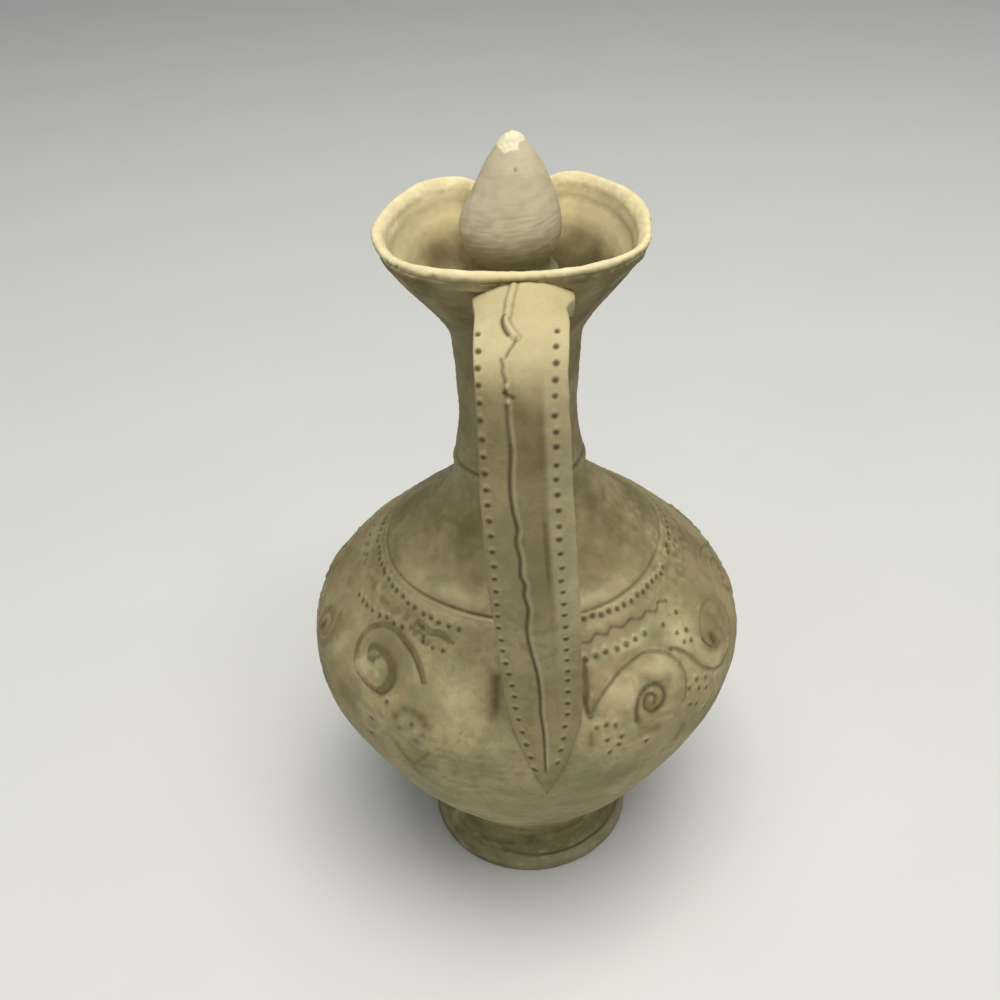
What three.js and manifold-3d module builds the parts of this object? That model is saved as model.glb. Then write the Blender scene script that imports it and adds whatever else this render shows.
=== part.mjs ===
import * as THREE from "three";
import { mergeVertices } from "three/addons/utils/BufferGeometryUtils.js";
import Module from "manifold-3d";

// A wheel-made jug with a pinched mouth, a strap handle and applied clay ornament, and the stopper
// that rests in its neck. Millimetres, standing on z = 0, spout towards +Y, handle on the -Y side.

// Foot
const FOOT_RADIUS = 40.4;
const FOOT_BAND_HEIGHT = 6;
const FOOT_GROOVE_DEPTH = 1.2;
const FOOT_WAIST_RADIUS = 35.2;
const FOOT_HEIGHT = 20;
const FOOT_RING_WIDTH = 7;
const FOOT_RECESS_DEPTH = 7;

// Body and neck, stacked from the foot up
const BELLY_RADIUS = 78.6;
const LOWER_BODY_HEIGHT = 83;
const SHOULDER_HEIGHT = 67;
const SHOULDER_GROOVE_DEPTH = 0.9;
const SHOULDER_GROOVE_WIDTH = 2;
const NECK_BASE_RADIUS = 22.8;
const NECK_RING_HEIGHT = 9;
const NECK_RING_STEP = 1.4;
const NECK_RADIUS = 19.6;
const NECK_HEIGHT = 46;

// Mouth
const MOUTH_RADIUS = 42.2;
const MOUTH_HEIGHT = 35;
const MOUTH_CORNER = 1.6;
const LOBE_REACH = 1.6;
const SPOUT_REACH = 6.5;
const PINCH_DEPTH = 10.5;
const PINCH_DEGREES = 17.5;
const LIP_WIDTH = 4.2;
const LIP_HEIGHT = 6;

// Walls
const BODY_WALL = 5;
const NECK_WALL = 5.6;
const FLOOR_THICKNESS = 8;

// Handle: a strap from below the lip to the widest part of the body
const HANDLE_WIDTH = 24.6;
const HANDLE_THICKNESS = 7.2;
const HANDLE_REACH = 77.6;
const HANDLE_DROP = 6;
const HANDLE_BEND_RADIUS = 17;
const HANDLE_ROOT_DEPTH = 8;
const HANDLE_ROOT_RISE = 3;
const HANDLE_TAIL_HEIGHT = 92;
const HANDLE_TAIL_LENGTH = 41;
const HANDLE_TAIL_RISE = 2;
const HANDLE_TAIL_SHIFT = 4;

// Applied beads and trails; the rows start and end at an angle from the handle towards +X
const BEAD_RADIUS = 1.25;
const BEAD_HEIGHT = 1.0;
const TRAIL_WIDTH = 2.2;
const TRAIL_HEIGHT = 0.9;
const HANDLE_BEAD_PITCH = 4.8;
const HANDLE_BEAD_LEFT_MARGIN = 1.6;
const HANDLE_BEAD_RIGHT_MARGIN = 4;
const HANDLE_WAVE_PITCH = 25;
const BODY_BEAD_PITCH = 4;
const UPPER_ROW_DEGREES = [20, 334];
const LOWER_ROWS_DEGREES = [[16.6, 40], [286, 316]];
const ZIGZAGS_DEGREES = [[17.5, 74.5], [285, 333]];
const ZIGZAG_PITCH_DEGREES = 3;
const ZIGZAG_WIDTH = 1.6;
const ZIGZAG_HEIGHT = 0.7;
const SCROLL_PITCH_DEGREES = 28;
const VOLUTE_RADIUS = 8.5;

// Stopper
const STOPPER_CLEARANCE = 0.4;
const STOPPER_SEAT_RISE = 3;
const BUNG_DEPTH = 5;
const BUNG_FLARE = 1.8;
const KNOB_RADIUS = 15;
const KNOB_HEIGHT = 41.7;
const KNOB_BROKEN_RADIUS = 3;

// Facets
const WALL_FACETS = 40;
const CAVITY_FACETS = 30;
const STOPPER_FACETS = 18;
const HANDLE_STATIONS = 24;
const BEAD_FACETS = 4;
const SINK = 0.7;

// Heights of the landmarks
const BELLY_Z = FOOT_HEIGHT + LOWER_BODY_HEIGHT;
const NECK_BASE_Z = BELLY_Z + SHOULDER_HEIGHT;
const NECK_TOP_Z = NECK_BASE_Z + NECK_RING_HEIGHT + NECK_HEIGHT;
const RIM_Z = NECK_TOP_Z + MOUTH_HEIGHT;
const GROOVE_Z = BELLY_Z + 0.612 * SHOULDER_HEIGHT;

const mix = THREE.MathUtils.lerp;
const { degToRad, radToDeg, smoothstep } = THREE.MathUtils;

// Shape of the turned wall, as shares of the height and of the radius between two landmarks.
const LOWER_BODY_SHAPE = [[0.08, 0.08], [0.2, 0.25], [0.38, 0.49], [0.58, 0.705], [0.78, 0.893], [1, 1]];
const SHOULDER_SHAPE = [[0.18, 0.965], [0.4, 0.745], [0.74, 0.26], [0.87, 0.085], [1, 0]];
const NECK_SHAPE = [[0.2, 0.45], [0.5, 0], [1, 0.55]];
const FUNNEL_SHAPE = [[0.22, 0.16], [0.5, 0.49], [0.8, 0.83]];

function shaped(shape, z, height, radius, nextRadius) {
  return shape.map(([up, out]) => [mix(radius, nextRadius, out), z + up * height]);
}

// The outer wall from the foot to the lip, as [radius, height].
const footBandRadius = 0.985 * FOOT_RADIUS;
const footTopRadius = 1.006 * FOOT_WAIST_RADIUS;
const neckRingZ = NECK_BASE_Z + NECK_RING_HEIGHT;
const funnelRadius = mix(NECK_RADIUS, NECK_BASE_RADIUS, 0.55);
const wallProfile = [
  [FOOT_RADIUS, 0],
  [footBandRadius, 0.83 * FOOT_BAND_HEIGHT],
  [footBandRadius - FOOT_GROOVE_DEPTH, FOOT_BAND_HEIGHT],
  [mix(FOOT_RADIUS, FOOT_WAIST_RADIUS, 0.3), 1.2 * FOOT_BAND_HEIGHT],
  [mix(FOOT_RADIUS, FOOT_WAIST_RADIUS, 0.9), mix(FOOT_BAND_HEIGHT, FOOT_HEIGHT, 0.6)],
  [footTopRadius, FOOT_HEIGHT],
  ...shaped(LOWER_BODY_SHAPE, FOOT_HEIGHT, LOWER_BODY_HEIGHT, footTopRadius, BELLY_RADIUS),
  ...shaped(SHOULDER_SHAPE, BELLY_Z, SHOULDER_HEIGHT, NECK_BASE_RADIUS, BELLY_RADIUS),
  [NECK_BASE_RADIUS - 0.3 * NECK_RING_STEP, neckRingZ - 0.7 * NECK_RING_STEP],
  [NECK_BASE_RADIUS - NECK_RING_STEP, neckRingZ],
  ...shaped(NECK_SHAPE, neckRingZ, NECK_HEIGHT, NECK_RADIUS, NECK_BASE_RADIUS - NECK_RING_STEP),
  ...shaped(FUNNEL_SHAPE, NECK_TOP_Z, MOUTH_HEIGHT - LIP_HEIGHT, funnelRadius, 0.962 * MOUTH_RADIUS),
];

// Radius of the outer wall at a height, by straight steps between the landmarks.
function wallRadius(z) {
  const above = wallProfile.findIndex(([, height]) => height >= z);
  if (above < 0) return wallProfile[wallProfile.length - 1][0];
  if (above === 0) return wallProfile[0][0];
  const [low, high] = [wallProfile[above - 1], wallProfile[above]];
  return mix(low[0], high[0], (z - low[1]) / (high[1] - low[1]));
}

// Change of the wall's radius for each millimetre of height.
function wallSlope(z) {
  const step = 0.5 * FOOT_BAND_HEIGHT;
  return (wallRadius(z + step) - wallRadius(z - step)) / (2 * step);
}

// Plan of the mouth: how far the rim stands in or out of a circle, by the angle from the spout.
// The spout is a round lobe between two sharp pinches, with a wider lobe beyond each of them.
const PINCH_ANGLE = degToRad(PINCH_DEGREES);
const PINCH_SPREAD = 0.18 * PINCH_ANGLE;
const PINCH_ROUNDING = 0.07 * PINCH_ANGLE;

function rimOffset(angle) {
  const fromSpout = Math.acos(Math.cos(angle));
  const away = Math.hypot(fromSpout - PINCH_ANGLE, PINCH_ROUNDING) - PINCH_ROUNDING;
  const pinch = Math.exp(-away / PINCH_SPREAD);
  const spout = Math.exp(-((fromSpout / PINCH_ANGLE) ** 2));
  const lobe = Math.exp(-((1.4 * (fromSpout / PINCH_ANGLE - 1.85)) ** 2));
  return SPOUT_REACH * spout + LOBE_REACH * lobe - PINCH_DEPTH * pinch - MOUTH_CORNER * Math.cos(4 * angle);
}

function mouthShare(z) {
  return smoothstep(z, NECK_TOP_Z + 0.06 * MOUTH_HEIGHT, RIM_Z - 0.06 * MOUTH_HEIGHT);
}

// How much longer the wall is along the radius than across, where the plan runs in or out.
function obliqueness(angle, radius, share) {
  const step = 0.01;
  const run = (share * (rimOffset(angle + step) - rimOffset(angle - step))) / (2 * step);
  return Math.hypot(1, run / radius);
}

// Angles round a ring from the spout, with corners on the pinches and even steps from there on.
function ringAngles(facets) {
  const spout = [0, 0.4, 0.75, 1, 1.25, 1.7].map((share) => share * PINCH_ANGLE);
  const last = spout[spout.length - 1];
  const rest = facets / 2 - spout.length + 1;
  const half = [...spout, ...Array.from({ length: rest }, (_, i) => mix(last, Math.PI, (i + 1) / rest))];
  const otherHalf = half.slice(1, -1).map((angle) => 2 * Math.PI - angle);
  return [...half, ...otherHalf.reverse()];
}

// One ring of the outer wall, or of the inner one where a thickness is given.
function wallRing(radius, z, facets, thickness = 0) {
  const share = mouthShare(z);
  return ringAngles(facets).map((angle) => {
    const outer = radius + share * rimOffset(angle);
    const reach = outer - thickness * obliqueness(angle, outer, share);
    return new THREE.Vector3(-reach * Math.sin(angle), reach * Math.cos(angle), z);
  });
}

const wasm = await Module();
wasm.setup();

function solidFrom(geometry) {
  const bare = geometry.clone();
  bare.deleteAttribute("normal");
  bare.deleteAttribute("uv");
  const merged = mergeVertices(bare, 1e-4);
  const vertProperties = merged.attributes.position.array;
  const triVerts = new Uint32Array(merged.index.array);
  return new wasm.Manifold(new wasm.Mesh({ numProp: 3, vertProperties, triVerts }));
}

function geometryFrom(solid) {
  const { vertProperties, triVerts } = solid.getMesh();
  const geometry = new THREE.BufferGeometry();
  geometry.setAttribute("position", new THREE.BufferAttribute(vertProperties, 3));
  geometry.setIndex(new THREE.BufferAttribute(triVerts, 1));
  const flat = geometry.toNonIndexed();
  flat.computeVertexNormals();
  return flat;
}

// A closed solid through rings of equal length, each counter-clockwise seen from the next one.
function loft(rings) {
  const count = rings[0].length;
  const centres = [rings[0], rings[rings.length - 1]].map((ring) =>
    ring.reduce((sum, point) => sum.add(point), new THREE.Vector3()).divideScalar(count),
  );
  const points = [...rings.flat(), ...centres];
  const last = (rings.length - 1) * count;
  const faces = [];
  for (let i = 0; i < count; i++) {
    const next = (i + 1) % count;
    faces.push(points.length - 2, next, i, points.length - 1, last + i, last + next);
    for (let from = 0; from < last; from += count) {
      faces.push(from + i, from + next, from + count + next, from + i, from + count + next, from + count + i);
    }
  }
  const geometry = new THREE.BufferGeometry().setFromPoints(points);
  geometry.setIndex(faces);
  return solidFrom(geometry);
}

// The outer body: recess under the foot, wall, grooves and rounded lip.
function outerBody() {
  const ringInside = FOOT_RADIUS - FOOT_RING_WIDTH;
  const [grooveFloorZ, grooveTopZ] = [-0.5, 0.5].map((side) => GROOVE_Z + side * SHOULDER_GROOVE_WIDTH);
  const groove = [
    [wallRadius(grooveFloorZ), grooveFloorZ],
    [wallRadius(GROOVE_Z) - SHOULDER_GROOVE_DEPTH, GROOVE_Z],
    [wallRadius(grooveTopZ), grooveTopZ],
  ];
  const wall = [...wallProfile, ...groove].sort((a, b) => a[1] - b[1]);
  const lip = [
    [MOUTH_RADIUS, RIM_Z - 0.6 * LIP_HEIGHT],
    [MOUTH_RADIUS - 0.07 * LIP_WIDTH, RIM_Z - 0.25 * LIP_HEIGHT],
    [MOUTH_RADIUS - 0.35 * LIP_WIDTH, RIM_Z],
  ];
  const recess = [
    [ringInside - 0.6 * FOOT_RECESS_DEPTH, FOOT_RECESS_DEPTH],
    [ringInside - 0.14 * FOOT_RECESS_DEPTH, 0.35 * FOOT_RECESS_DEPTH],
    [ringInside, 0],
  ];
  return loft([...recess, ...wall, ...lip].map(([radius, z]) => wallRing(radius, z, WALL_FACETS)));
}

// The hollow: body, neck bore and funnel, open past the rim.
const CAVITY_FLOOR_Z = FOOT_RECESS_DEPTH + FLOOR_THICKNESS;
const BORE_RADIUS = NECK_RADIUS - NECK_WALL;
const SEAT_Z = NECK_TOP_Z + STOPPER_SEAT_RISE;

function cavityRings() {
  const bowlTop = CAVITY_FLOOR_Z + 0.3 * LOWER_BODY_HEIGHT;
  const across = (z) => BODY_WALL * Math.hypot(1, wallSlope(z));
  const bowl = [0.03, 0.2, 0.55].map((up) => {
    const z = mix(CAVITY_FLOOR_Z, bowlTop, up);
    const reach = Math.sqrt(1 - (1 - up) ** 2);
    return [(wallRadius(bowlTop) - across(bowlTop)) * reach, z, 0];
  });
  const boreBase = NECK_BASE_Z - 0.67 * NECK_RING_HEIGHT;
  const body = [0, 0.25, 0.48, 0.6, 0.75, 0.9].map((up) => {
    const z = mix(bowlTop, boreBase, up);
    return [wallRadius(z), z, across(z)];
  });
  const bore = [boreBase + 0.33 * NECK_RING_HEIGHT, SEAT_Z].map((z) => [BORE_RADIUS, z, 0]);
  const throat = [0.12, 0.4, 0.7].map((up) => {
    const z = mix(SEAT_Z, RIM_Z - 0.5 * LIP_HEIGHT, up);
    return [wallRadius(z), z, mix(1.36 * NECK_WALL, 1.2 * LIP_WIDTH, up)];
  });
  const mouth = [
    [MOUTH_RADIUS, RIM_Z - 0.5 * LIP_HEIGHT, LIP_WIDTH],
    [MOUTH_RADIUS, RIM_Z - 0.15 * LIP_HEIGHT, 0.85 * LIP_WIDTH],
    [MOUTH_RADIUS, RIM_Z + 0.02 * LIP_HEIGHT, 0.6 * LIP_WIDTH],
    [MOUTH_RADIUS, RIM_Z + 0.8 * LIP_HEIGHT, 0.5 * LIP_WIDTH],
  ];
  const profile = [...bowl, ...body, ...bore, ...throat, ...mouth];
  return profile.map(([radius, z, wall]) => wallRing(radius, z, CAVITY_FACETS, wall));
}

// Outer face of the handle in its side view, as a curve from inside the funnel wall to the tail.
const handleTopZ = RIM_Z - HANDLE_DROP;
const rootReach = wallRadius(handleTopZ) - HANDLE_ROOT_DEPTH;
const bendReach = HANDLE_REACH - 1.25 * HANDLE_BEND_RADIUS;
const tailReach = (z, rise) => wallRadius(z) + rise;
const handleCurve = new THREE.CatmullRomCurve3(
  [
    [rootReach, handleTopZ + HANDLE_ROOT_RISE],
    [wallRadius(handleTopZ) + 0.1 * HANDLE_ROOT_DEPTH, handleTopZ + HANDLE_ROOT_RISE],
    [wallRadius(handleTopZ) + 0.9 * HANDLE_ROOT_DEPTH, handleTopZ + 0.3 * HANDLE_ROOT_RISE],
    [bendReach, handleTopZ],
    [HANDLE_REACH - 0.62 * HANDLE_BEND_RADIUS, handleTopZ - 0.24 * HANDLE_BEND_RADIUS],
    [HANDLE_REACH - 0.3 * HANDLE_BEND_RADIUS, handleTopZ - 0.75 * HANDLE_BEND_RADIUS],
    [HANDLE_REACH - 0.14 * HANDLE_THICKNESS, handleTopZ - 2.1 * HANDLE_BEND_RADIUS],
    [HANDLE_REACH, mix(handleTopZ, BELLY_Z, 0.43)],
    [HANDLE_REACH - 0.06 * HANDLE_THICKNESS, mix(handleTopZ, BELLY_Z, 0.62)],
    [HANDLE_REACH - 0.28 * HANDLE_THICKNESS, mix(handleTopZ, BELLY_Z, 0.78)],
    [tailReach(BELLY_Z, HANDLE_TAIL_RISE) - 0.5 * HANDLE_THICKNESS, BELLY_Z + 0.5 * HANDLE_TAIL_LENGTH],
    [tailReach(BELLY_Z, HANDLE_TAIL_RISE), BELLY_Z],
    [tailReach(HANDLE_TAIL_HEIGHT, 0) - SINK, HANDLE_TAIL_HEIGHT],
  ].map(([reach, z]) => new THREE.Vector3(0, -reach, z)),
  false,
  "centripetal",
);
const handleLength = handleCurve.getLength();

// The place, directions and half width of the handle at a distance along its outer face.
function handleStation(along) {
  const share = along / handleLength;
  const origin = handleCurve.getPointAt(share);
  const ahead = handleCurve.getTangentAt(share);
  const taper = smoothstep(handleLength - along, -0.35 * HANDLE_TAIL_LENGTH, HANDLE_TAIL_LENGTH);
  const rootShift = 0.25 - 0.33 * smoothstep(share, 0, 0.3);
  origin.x = HANDLE_TAIL_SHIFT * (rootShift + smoothstep(share, 0.45, 0.8));
  const outward = new THREE.Vector3(0, ahead.z, -ahead.y);
  const rootFlare = 0.05 * HANDLE_WIDTH * (1 - smoothstep(share, 0, 0.12));
  const rootCrown = 1.2 * HANDLE_ROOT_RISE * (1 - smoothstep(share, 0.03, 0.16));
  return { origin, outward, rootCrown, half: 0.5 * HANDLE_WIDTH * taper + rootFlare };
}

function onHandle(along, across) {
  const { origin, outward, rootCrown, half } = handleStation(along);
  const edge = Math.abs(across / half);
  const crown = -0.2 * HANDLE_THICKNESS * smoothstep(edge, 0.45, 1.1) - rootCrown * edge ** 2;
  const point = origin.clone().addScaledVector(outward, crown);
  point.x += across;
  return { point, normal: outward };
}

// Half of the strap's cross-section, as shares of the half width and of the thickness.
const STRAP_SECTION = [[0.85, -1], [1, -0.64], [1, -0.25], [0.88, -0.1], [0.42, 0]];

function handle() {
  const section = [...STRAP_SECTION, ...STRAP_SECTION.map(([x, depth]) => [-x, depth]).reverse()];
  const rings = Array.from({ length: HANDLE_STATIONS + 1 }, (_, i) => {
    const { origin, outward, rootCrown, half } = handleStation(handleLength * (i / HANDLE_STATIONS));
    return section.map(([x, depth]) => {
      const point = origin.clone().addScaledVector(outward, depth * HANDLE_THICKNESS - rootCrown * x ** 2);
      point.x += x * half;
      return point;
    });
  });
  return loft(rings);
}

// A point on the body, by its angle from the handle towards +X, and the outward direction there.
function onBody(degrees, z) {
  const angle = degToRad(degrees);
  const radius = wallRadius(z);
  const point = new THREE.Vector3(radius * Math.sin(angle), -radius * Math.cos(angle), z);
  const normal = new THREE.Vector3(Math.sin(angle), -Math.cos(angle), -wallSlope(z)).normalize();
  return { point, normal };
}

// A bead: a low four-sided stud whose base is sunk in the surface.
function bead({ point, normal }) {
  const height = BEAD_HEIGHT + SINK;
  const stud = new THREE.ConeGeometry((BEAD_RADIUS * height) / BEAD_HEIGHT, height, BEAD_FACETS);
  stud.translate(0, 0.5 * height - SINK, 0);
  stud.applyQuaternion(new THREE.Quaternion().setFromUnitVectors(new THREE.Vector3(0, 1, 0), normal));
  stud.translate(point.x, point.y, point.z);
  return solidFrom(stud);
}

// A trail: a ridge of clay along a row of points on the surface.
function trail(places, width = TRAIL_WIDTH, height = TRAIL_HEIGHT) {
  const rings = places.map(({ point, normal }, i) => {
    const before = places[Math.max(i - 1, 0)].point;
    const after = places[Math.min(i + 1, places.length - 1)].point;
    const ahead = new THREE.Vector3().subVectors(after, before).normalize();
    const side = new THREE.Vector3().crossVectors(normal, ahead).normalize();
    return [[0.5, -SINK], [0, height], [-0.5, -SINK]].map(([across, lift]) =>
      point.clone().addScaledVector(side, across * width).addScaledVector(normal, lift),
    );
  });
  return loft(rings);
}

function steps(count, place) {
  return Array.from({ length: count + 1 }, (_, i) => place(i / count));
}

// Two rows of beads and a wavy trail down the handle.
function handleOrnament() {
  const start = bendReach - rootReach + HANDLE_BEAD_PITCH;
  const end = handleLength - 0.35 * HANDLE_TAIL_LENGTH;
  const beads = [];
  for (let along = start; along < end; along += HANDLE_BEAD_PITCH) {
    const { half } = handleStation(along);
    beads.push(bead(onHandle(along, HANDLE_BEAD_LEFT_MARGIN - half)));
    beads.push(bead(onHandle(along, half - Math.min(HANDLE_BEAD_RIGHT_MARGIN, 0.4 * half))));
  }
  const wave = steps(30, (share) => {
    const along = mix(1.6 * HANDLE_ROOT_DEPTH, handleLength - 0.1 * HANDLE_TAIL_LENGTH, share);
    const drift = -0.13 * HANDLE_WIDTH * (1 - 0.5 * smoothstep(share, 0.4, 0.9)) * (1 - share ** 6);
    return onHandle(along, drift + 0.4 * TRAIL_WIDTH * Math.sin((2 * Math.PI * along) / HANDLE_WAVE_PITCH));
  });
  return [...beads, trail(wave)];
}

// Bead rows and a zigzag trail below the shoulder groove, open at the handle.
function shoulderOrnament() {
  const row = ([from, to], z) => {
    const pitch = radToDeg(BODY_BEAD_PITCH / wallRadius(z));
    const count = Math.floor((to - from) / pitch) + 1;
    return Array.from({ length: count }, (_, i) => bead(onBody(from + i * pitch, z)));
  };
  const zigzag = ([from, to]) => {
    const count = Math.round((to - from) / ZIGZAG_PITCH_DEGREES);
    const middle = GROOVE_Z - 1.5 * BODY_BEAD_PITCH;
    const corners = Array.from({ length: count + 1 }, (_, i) =>
      onBody(from + i * ZIGZAG_PITCH_DEGREES, middle + (i % 2 ? 0.5 : -0.5) * ZIGZAG_WIDTH),
    );
    return trail(corners, ZIGZAG_WIDTH, ZIGZAG_HEIGHT);
  };
  const upperRow = row(UPPER_ROW_DEGREES, GROOVE_Z - 0.55 * BODY_BEAD_PITCH);
  const lowerRows = LOWER_ROWS_DEGREES.flatMap((ends) => row(ends, GROOVE_Z - 2.45 * BODY_BEAD_PITCH));
  return [...upperRow, ...lowerRows, ...ZIGZAGS_DEGREES.map(zigzag)];
}

// A running scroll round the belly: one wavy stem, with a volute in each bay.
const SCROLL_Z = mix(BELLY_Z, GROOVE_Z, 0.45);
const SCROLL_START = 32;
const SCROLL_BAYS = Math.floor((360 - SCROLL_START) / SCROLL_PITCH_DEGREES);

function scrollOrnament() {
  const rise = 0.235 * (GROOVE_Z - BELLY_Z);
  const stemStart = SCROLL_START - 0.62 * SCROLL_PITCH_DEGREES;
  const stemEnd = SCROLL_START + (SCROLL_BAYS - 0.4) * SCROLL_PITCH_DEGREES;
  const stem = steps(48, (share) => {
    const at = mix(stemStart, stemEnd, share);
    return onBody(at, SCROLL_Z + rise * Math.cos((Math.PI * (at - SCROLL_START)) / SCROLL_PITCH_DEGREES));
  });
  const volutes = Array.from({ length: SCROLL_BAYS }, (_, bay) => {
    const turn = bay % 2 ? -1 : 1;
    const centre = SCROLL_START + bay * SCROLL_PITCH_DEGREES;
    return trail(
      steps(8, (share) => {
        const radius = mix(0.3, 1, share) * 0.72 * VOLUTE_RADIUS;
        const angle = 2.4 * Math.PI * share + (turn > 0 ? 0 : Math.PI);
        const z = SCROLL_Z - 0.235 * turn * VOLUTE_RADIUS + radius * Math.sin(angle);
        const sweep = radToDeg((radius * Math.cos(angle)) / wallRadius(SCROLL_Z));
        return onBody(centre + turn * sweep, z);
      }),
    );
  });
  return [trail(stem), ...volutes];
}

function jug() {
  const { Manifold } = wasm;
  const ornament = [...handleOrnament(), ...shoulderOrnament(), ...scrollOrnament()];
  return Manifold.union([outerBody(), handle(), ...ornament]).subtract(loft(cavityRings()));
}

// Side view of the knob, as shares of its radius and height.
const KNOB_LOWER_SHAPE = [[0.87, 0.14], [0.98, 0.26], [1, 0.36]];
const KNOB_UPPER_SHAPE = [[0.86, 0.53], [0.71, 0.66], [0.61, 0.77], [0.44, 0.86]];
const KNOB_SHAPE = [...KNOB_LOWER_SHAPE, ...KNOB_UPPER_SHAPE];

// The stopper: a bung that narrows into the neck bore, and an egg-shaped knob with a broken tip.
function stopper() {
  const seatRadius = BORE_RADIUS - STOPPER_CLEARANCE;
  const bungTopZ = SEAT_Z + 0.6 * MOUTH_HEIGHT;
  const bung = [
    [0, SEAT_Z - BUNG_DEPTH],
    [seatRadius - 0.2 * BUNG_DEPTH, SEAT_Z - BUNG_DEPTH],
    [seatRadius - 0.08 * BUNG_DEPTH, SEAT_Z - 0.8 * BUNG_DEPTH],
    [seatRadius, SEAT_Z],
    [seatRadius + 0.5 * BUNG_FLARE, mix(SEAT_Z, bungTopZ, 0.5)],
    [seatRadius + BUNG_FLARE, bungTopZ - 0.2 * BUNG_DEPTH],
    [seatRadius + 0.55 * BUNG_FLARE, bungTopZ],
    [0.66 * KNOB_RADIUS, bungTopZ - 0.3 * BUNG_DEPTH],
  ];
  const knobFloorZ = bungTopZ - BUNG_DEPTH;
  const knob = KNOB_SHAPE.map(([out, up]) => [out * KNOB_RADIUS, knobFloorZ + up * KNOB_HEIGHT]);
  const tip = [
    [KNOB_BROKEN_RADIUS, knobFloorZ + 0.97 * KNOB_HEIGHT],
    [0, knobFloorZ + KNOB_HEIGHT],
  ];
  const outline = [...bung, ...knob, ...tip].map(([radius, z]) => new THREE.Vector2(radius, z));
  return new THREE.LatheGeometry(outline, STOPPER_FACETS).rotateX(Math.PI / 2);
}

const buffClay = new THREE.MeshStandardMaterial({ color: 0x9a8d66, roughness: 0.85, metalness: 0 });
const paleClay = new THREE.MeshStandardMaterial({ color: 0xb9b097, roughness: 0.8, metalness: 0 });

function piece(name, geometry, material) {
  const mesh = new THREE.Mesh(geometry, material);
  mesh.name = name;
  return mesh;
}

const oinochoe = new THREE.Group();
oinochoe.add(piece("jug", geometryFrom(jug()), buffClay));
oinochoe.add(piece("stopper", stopper(), paleClay));

export default oinochoe;
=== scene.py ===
import math

import bpy
import numpy as np
from mathutils import Matrix, Vector


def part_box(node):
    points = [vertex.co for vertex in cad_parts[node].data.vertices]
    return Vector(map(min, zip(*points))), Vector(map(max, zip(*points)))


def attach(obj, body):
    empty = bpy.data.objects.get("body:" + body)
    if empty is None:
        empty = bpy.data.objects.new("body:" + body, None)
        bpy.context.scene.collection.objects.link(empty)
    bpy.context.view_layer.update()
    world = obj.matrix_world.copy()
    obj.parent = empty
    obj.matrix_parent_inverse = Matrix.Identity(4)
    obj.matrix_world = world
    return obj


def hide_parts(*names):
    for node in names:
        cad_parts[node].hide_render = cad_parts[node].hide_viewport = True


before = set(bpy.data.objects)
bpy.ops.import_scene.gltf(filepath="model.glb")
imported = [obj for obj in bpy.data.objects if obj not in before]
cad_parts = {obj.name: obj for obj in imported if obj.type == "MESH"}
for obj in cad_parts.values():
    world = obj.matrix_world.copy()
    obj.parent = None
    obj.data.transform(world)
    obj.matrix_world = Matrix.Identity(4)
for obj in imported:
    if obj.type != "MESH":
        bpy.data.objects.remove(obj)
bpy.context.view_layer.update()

# A wheel-made clay jug with a stopper. Lengths are in the jug's own millimetres: its rim stands 260
# of them high, and MM is what one of them is in the frame's metres. +Z is up, the handle is at -Y.

jug_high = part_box("jug")[1]
RIM_Z = 260.0
MM = jug_high.z / RIM_Z
STOPPER_TOP_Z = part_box("stopper")[1].z / MM

rng = np.random.default_rng(7)
# Number layers that the clay's colours follow, and how many triangles the two large pieces keep
# dirt_and_shade holds earth in grooves and painted shade under beads, trails and the knob; pale holds wear
# and painted highlights on bead tops, the handle's trail and the lip
MARKS = ("dirt_and_shade", "pale", "dark")
BODY_TRIANGLES = 196000
HANDLE_TRIANGLES = 190000


# Helpers for shapes

def smooth(x, low, high):
    """From 0 at low to 1 at high, with soft ends."""
    t = np.clip((x - low) / (high - low), 0, 1)
    return t * t * (3 - 2 * t)


def bump(x, middle, width):
    return np.exp(-(((x - middle) / width) ** 2))


def smooth_path(points, spacing):
    """Even steps along a centripetal Catmull-Rom curve through the points."""
    p = np.asarray(points, float)
    p = np.vstack([2 * p[0] - p[1], p, 2 * p[-1] - p[-2]])
    knots = np.concatenate([[0], np.cumsum(np.sqrt(np.linalg.norm(np.diff(p, axis=0), axis=1)))])
    parts = []
    for i in range(1, len(p) - 2):
        k = knots[i - 1 : i + 3]
        t = np.linspace(k[1], k[2], 24, endpoint=False)[:, None]
        a = [((k[j + 1] - t) * p[i - 1 + j] + (t - k[j]) * p[i + j]) / (k[j + 1] - k[j]) for j in range(3)]
        b = [((k[j + 2] - t) * a[j] + (t - k[j]) * a[j + 1]) / (k[j + 2] - k[j]) for j in range(2)]
        parts.append(((k[2] - t) * b[0] + (t - k[1]) * b[1]) / (k[2] - k[1]))
    dense = np.vstack([*parts, p[-2:-1]])
    length = np.concatenate([[0], np.cumsum(np.linalg.norm(np.diff(dense, axis=0), axis=1))])
    at = np.linspace(0, length[-1], max(int(round(length[-1] / spacing)), 2) + 1)
    return np.column_stack([np.interp(at, length, column) for column in dense.T])


def waves(points, length, count=28, seed=1):
    """Smooth random values of about unit size, with waves of about that length, at 3-D points."""
    random = np.random.default_rng(seed)
    total = np.zeros(points.shape[:-1])
    for _ in range(count):
        direction = random.normal(size=3)
        direction *= 2 * math.pi / (length * random.uniform(0.7, 1.6) * np.linalg.norm(direction))
        total += np.sin(points @ direction + random.uniform(0, 2 * math.pi))
    return total * math.sqrt(2 / count)


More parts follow.
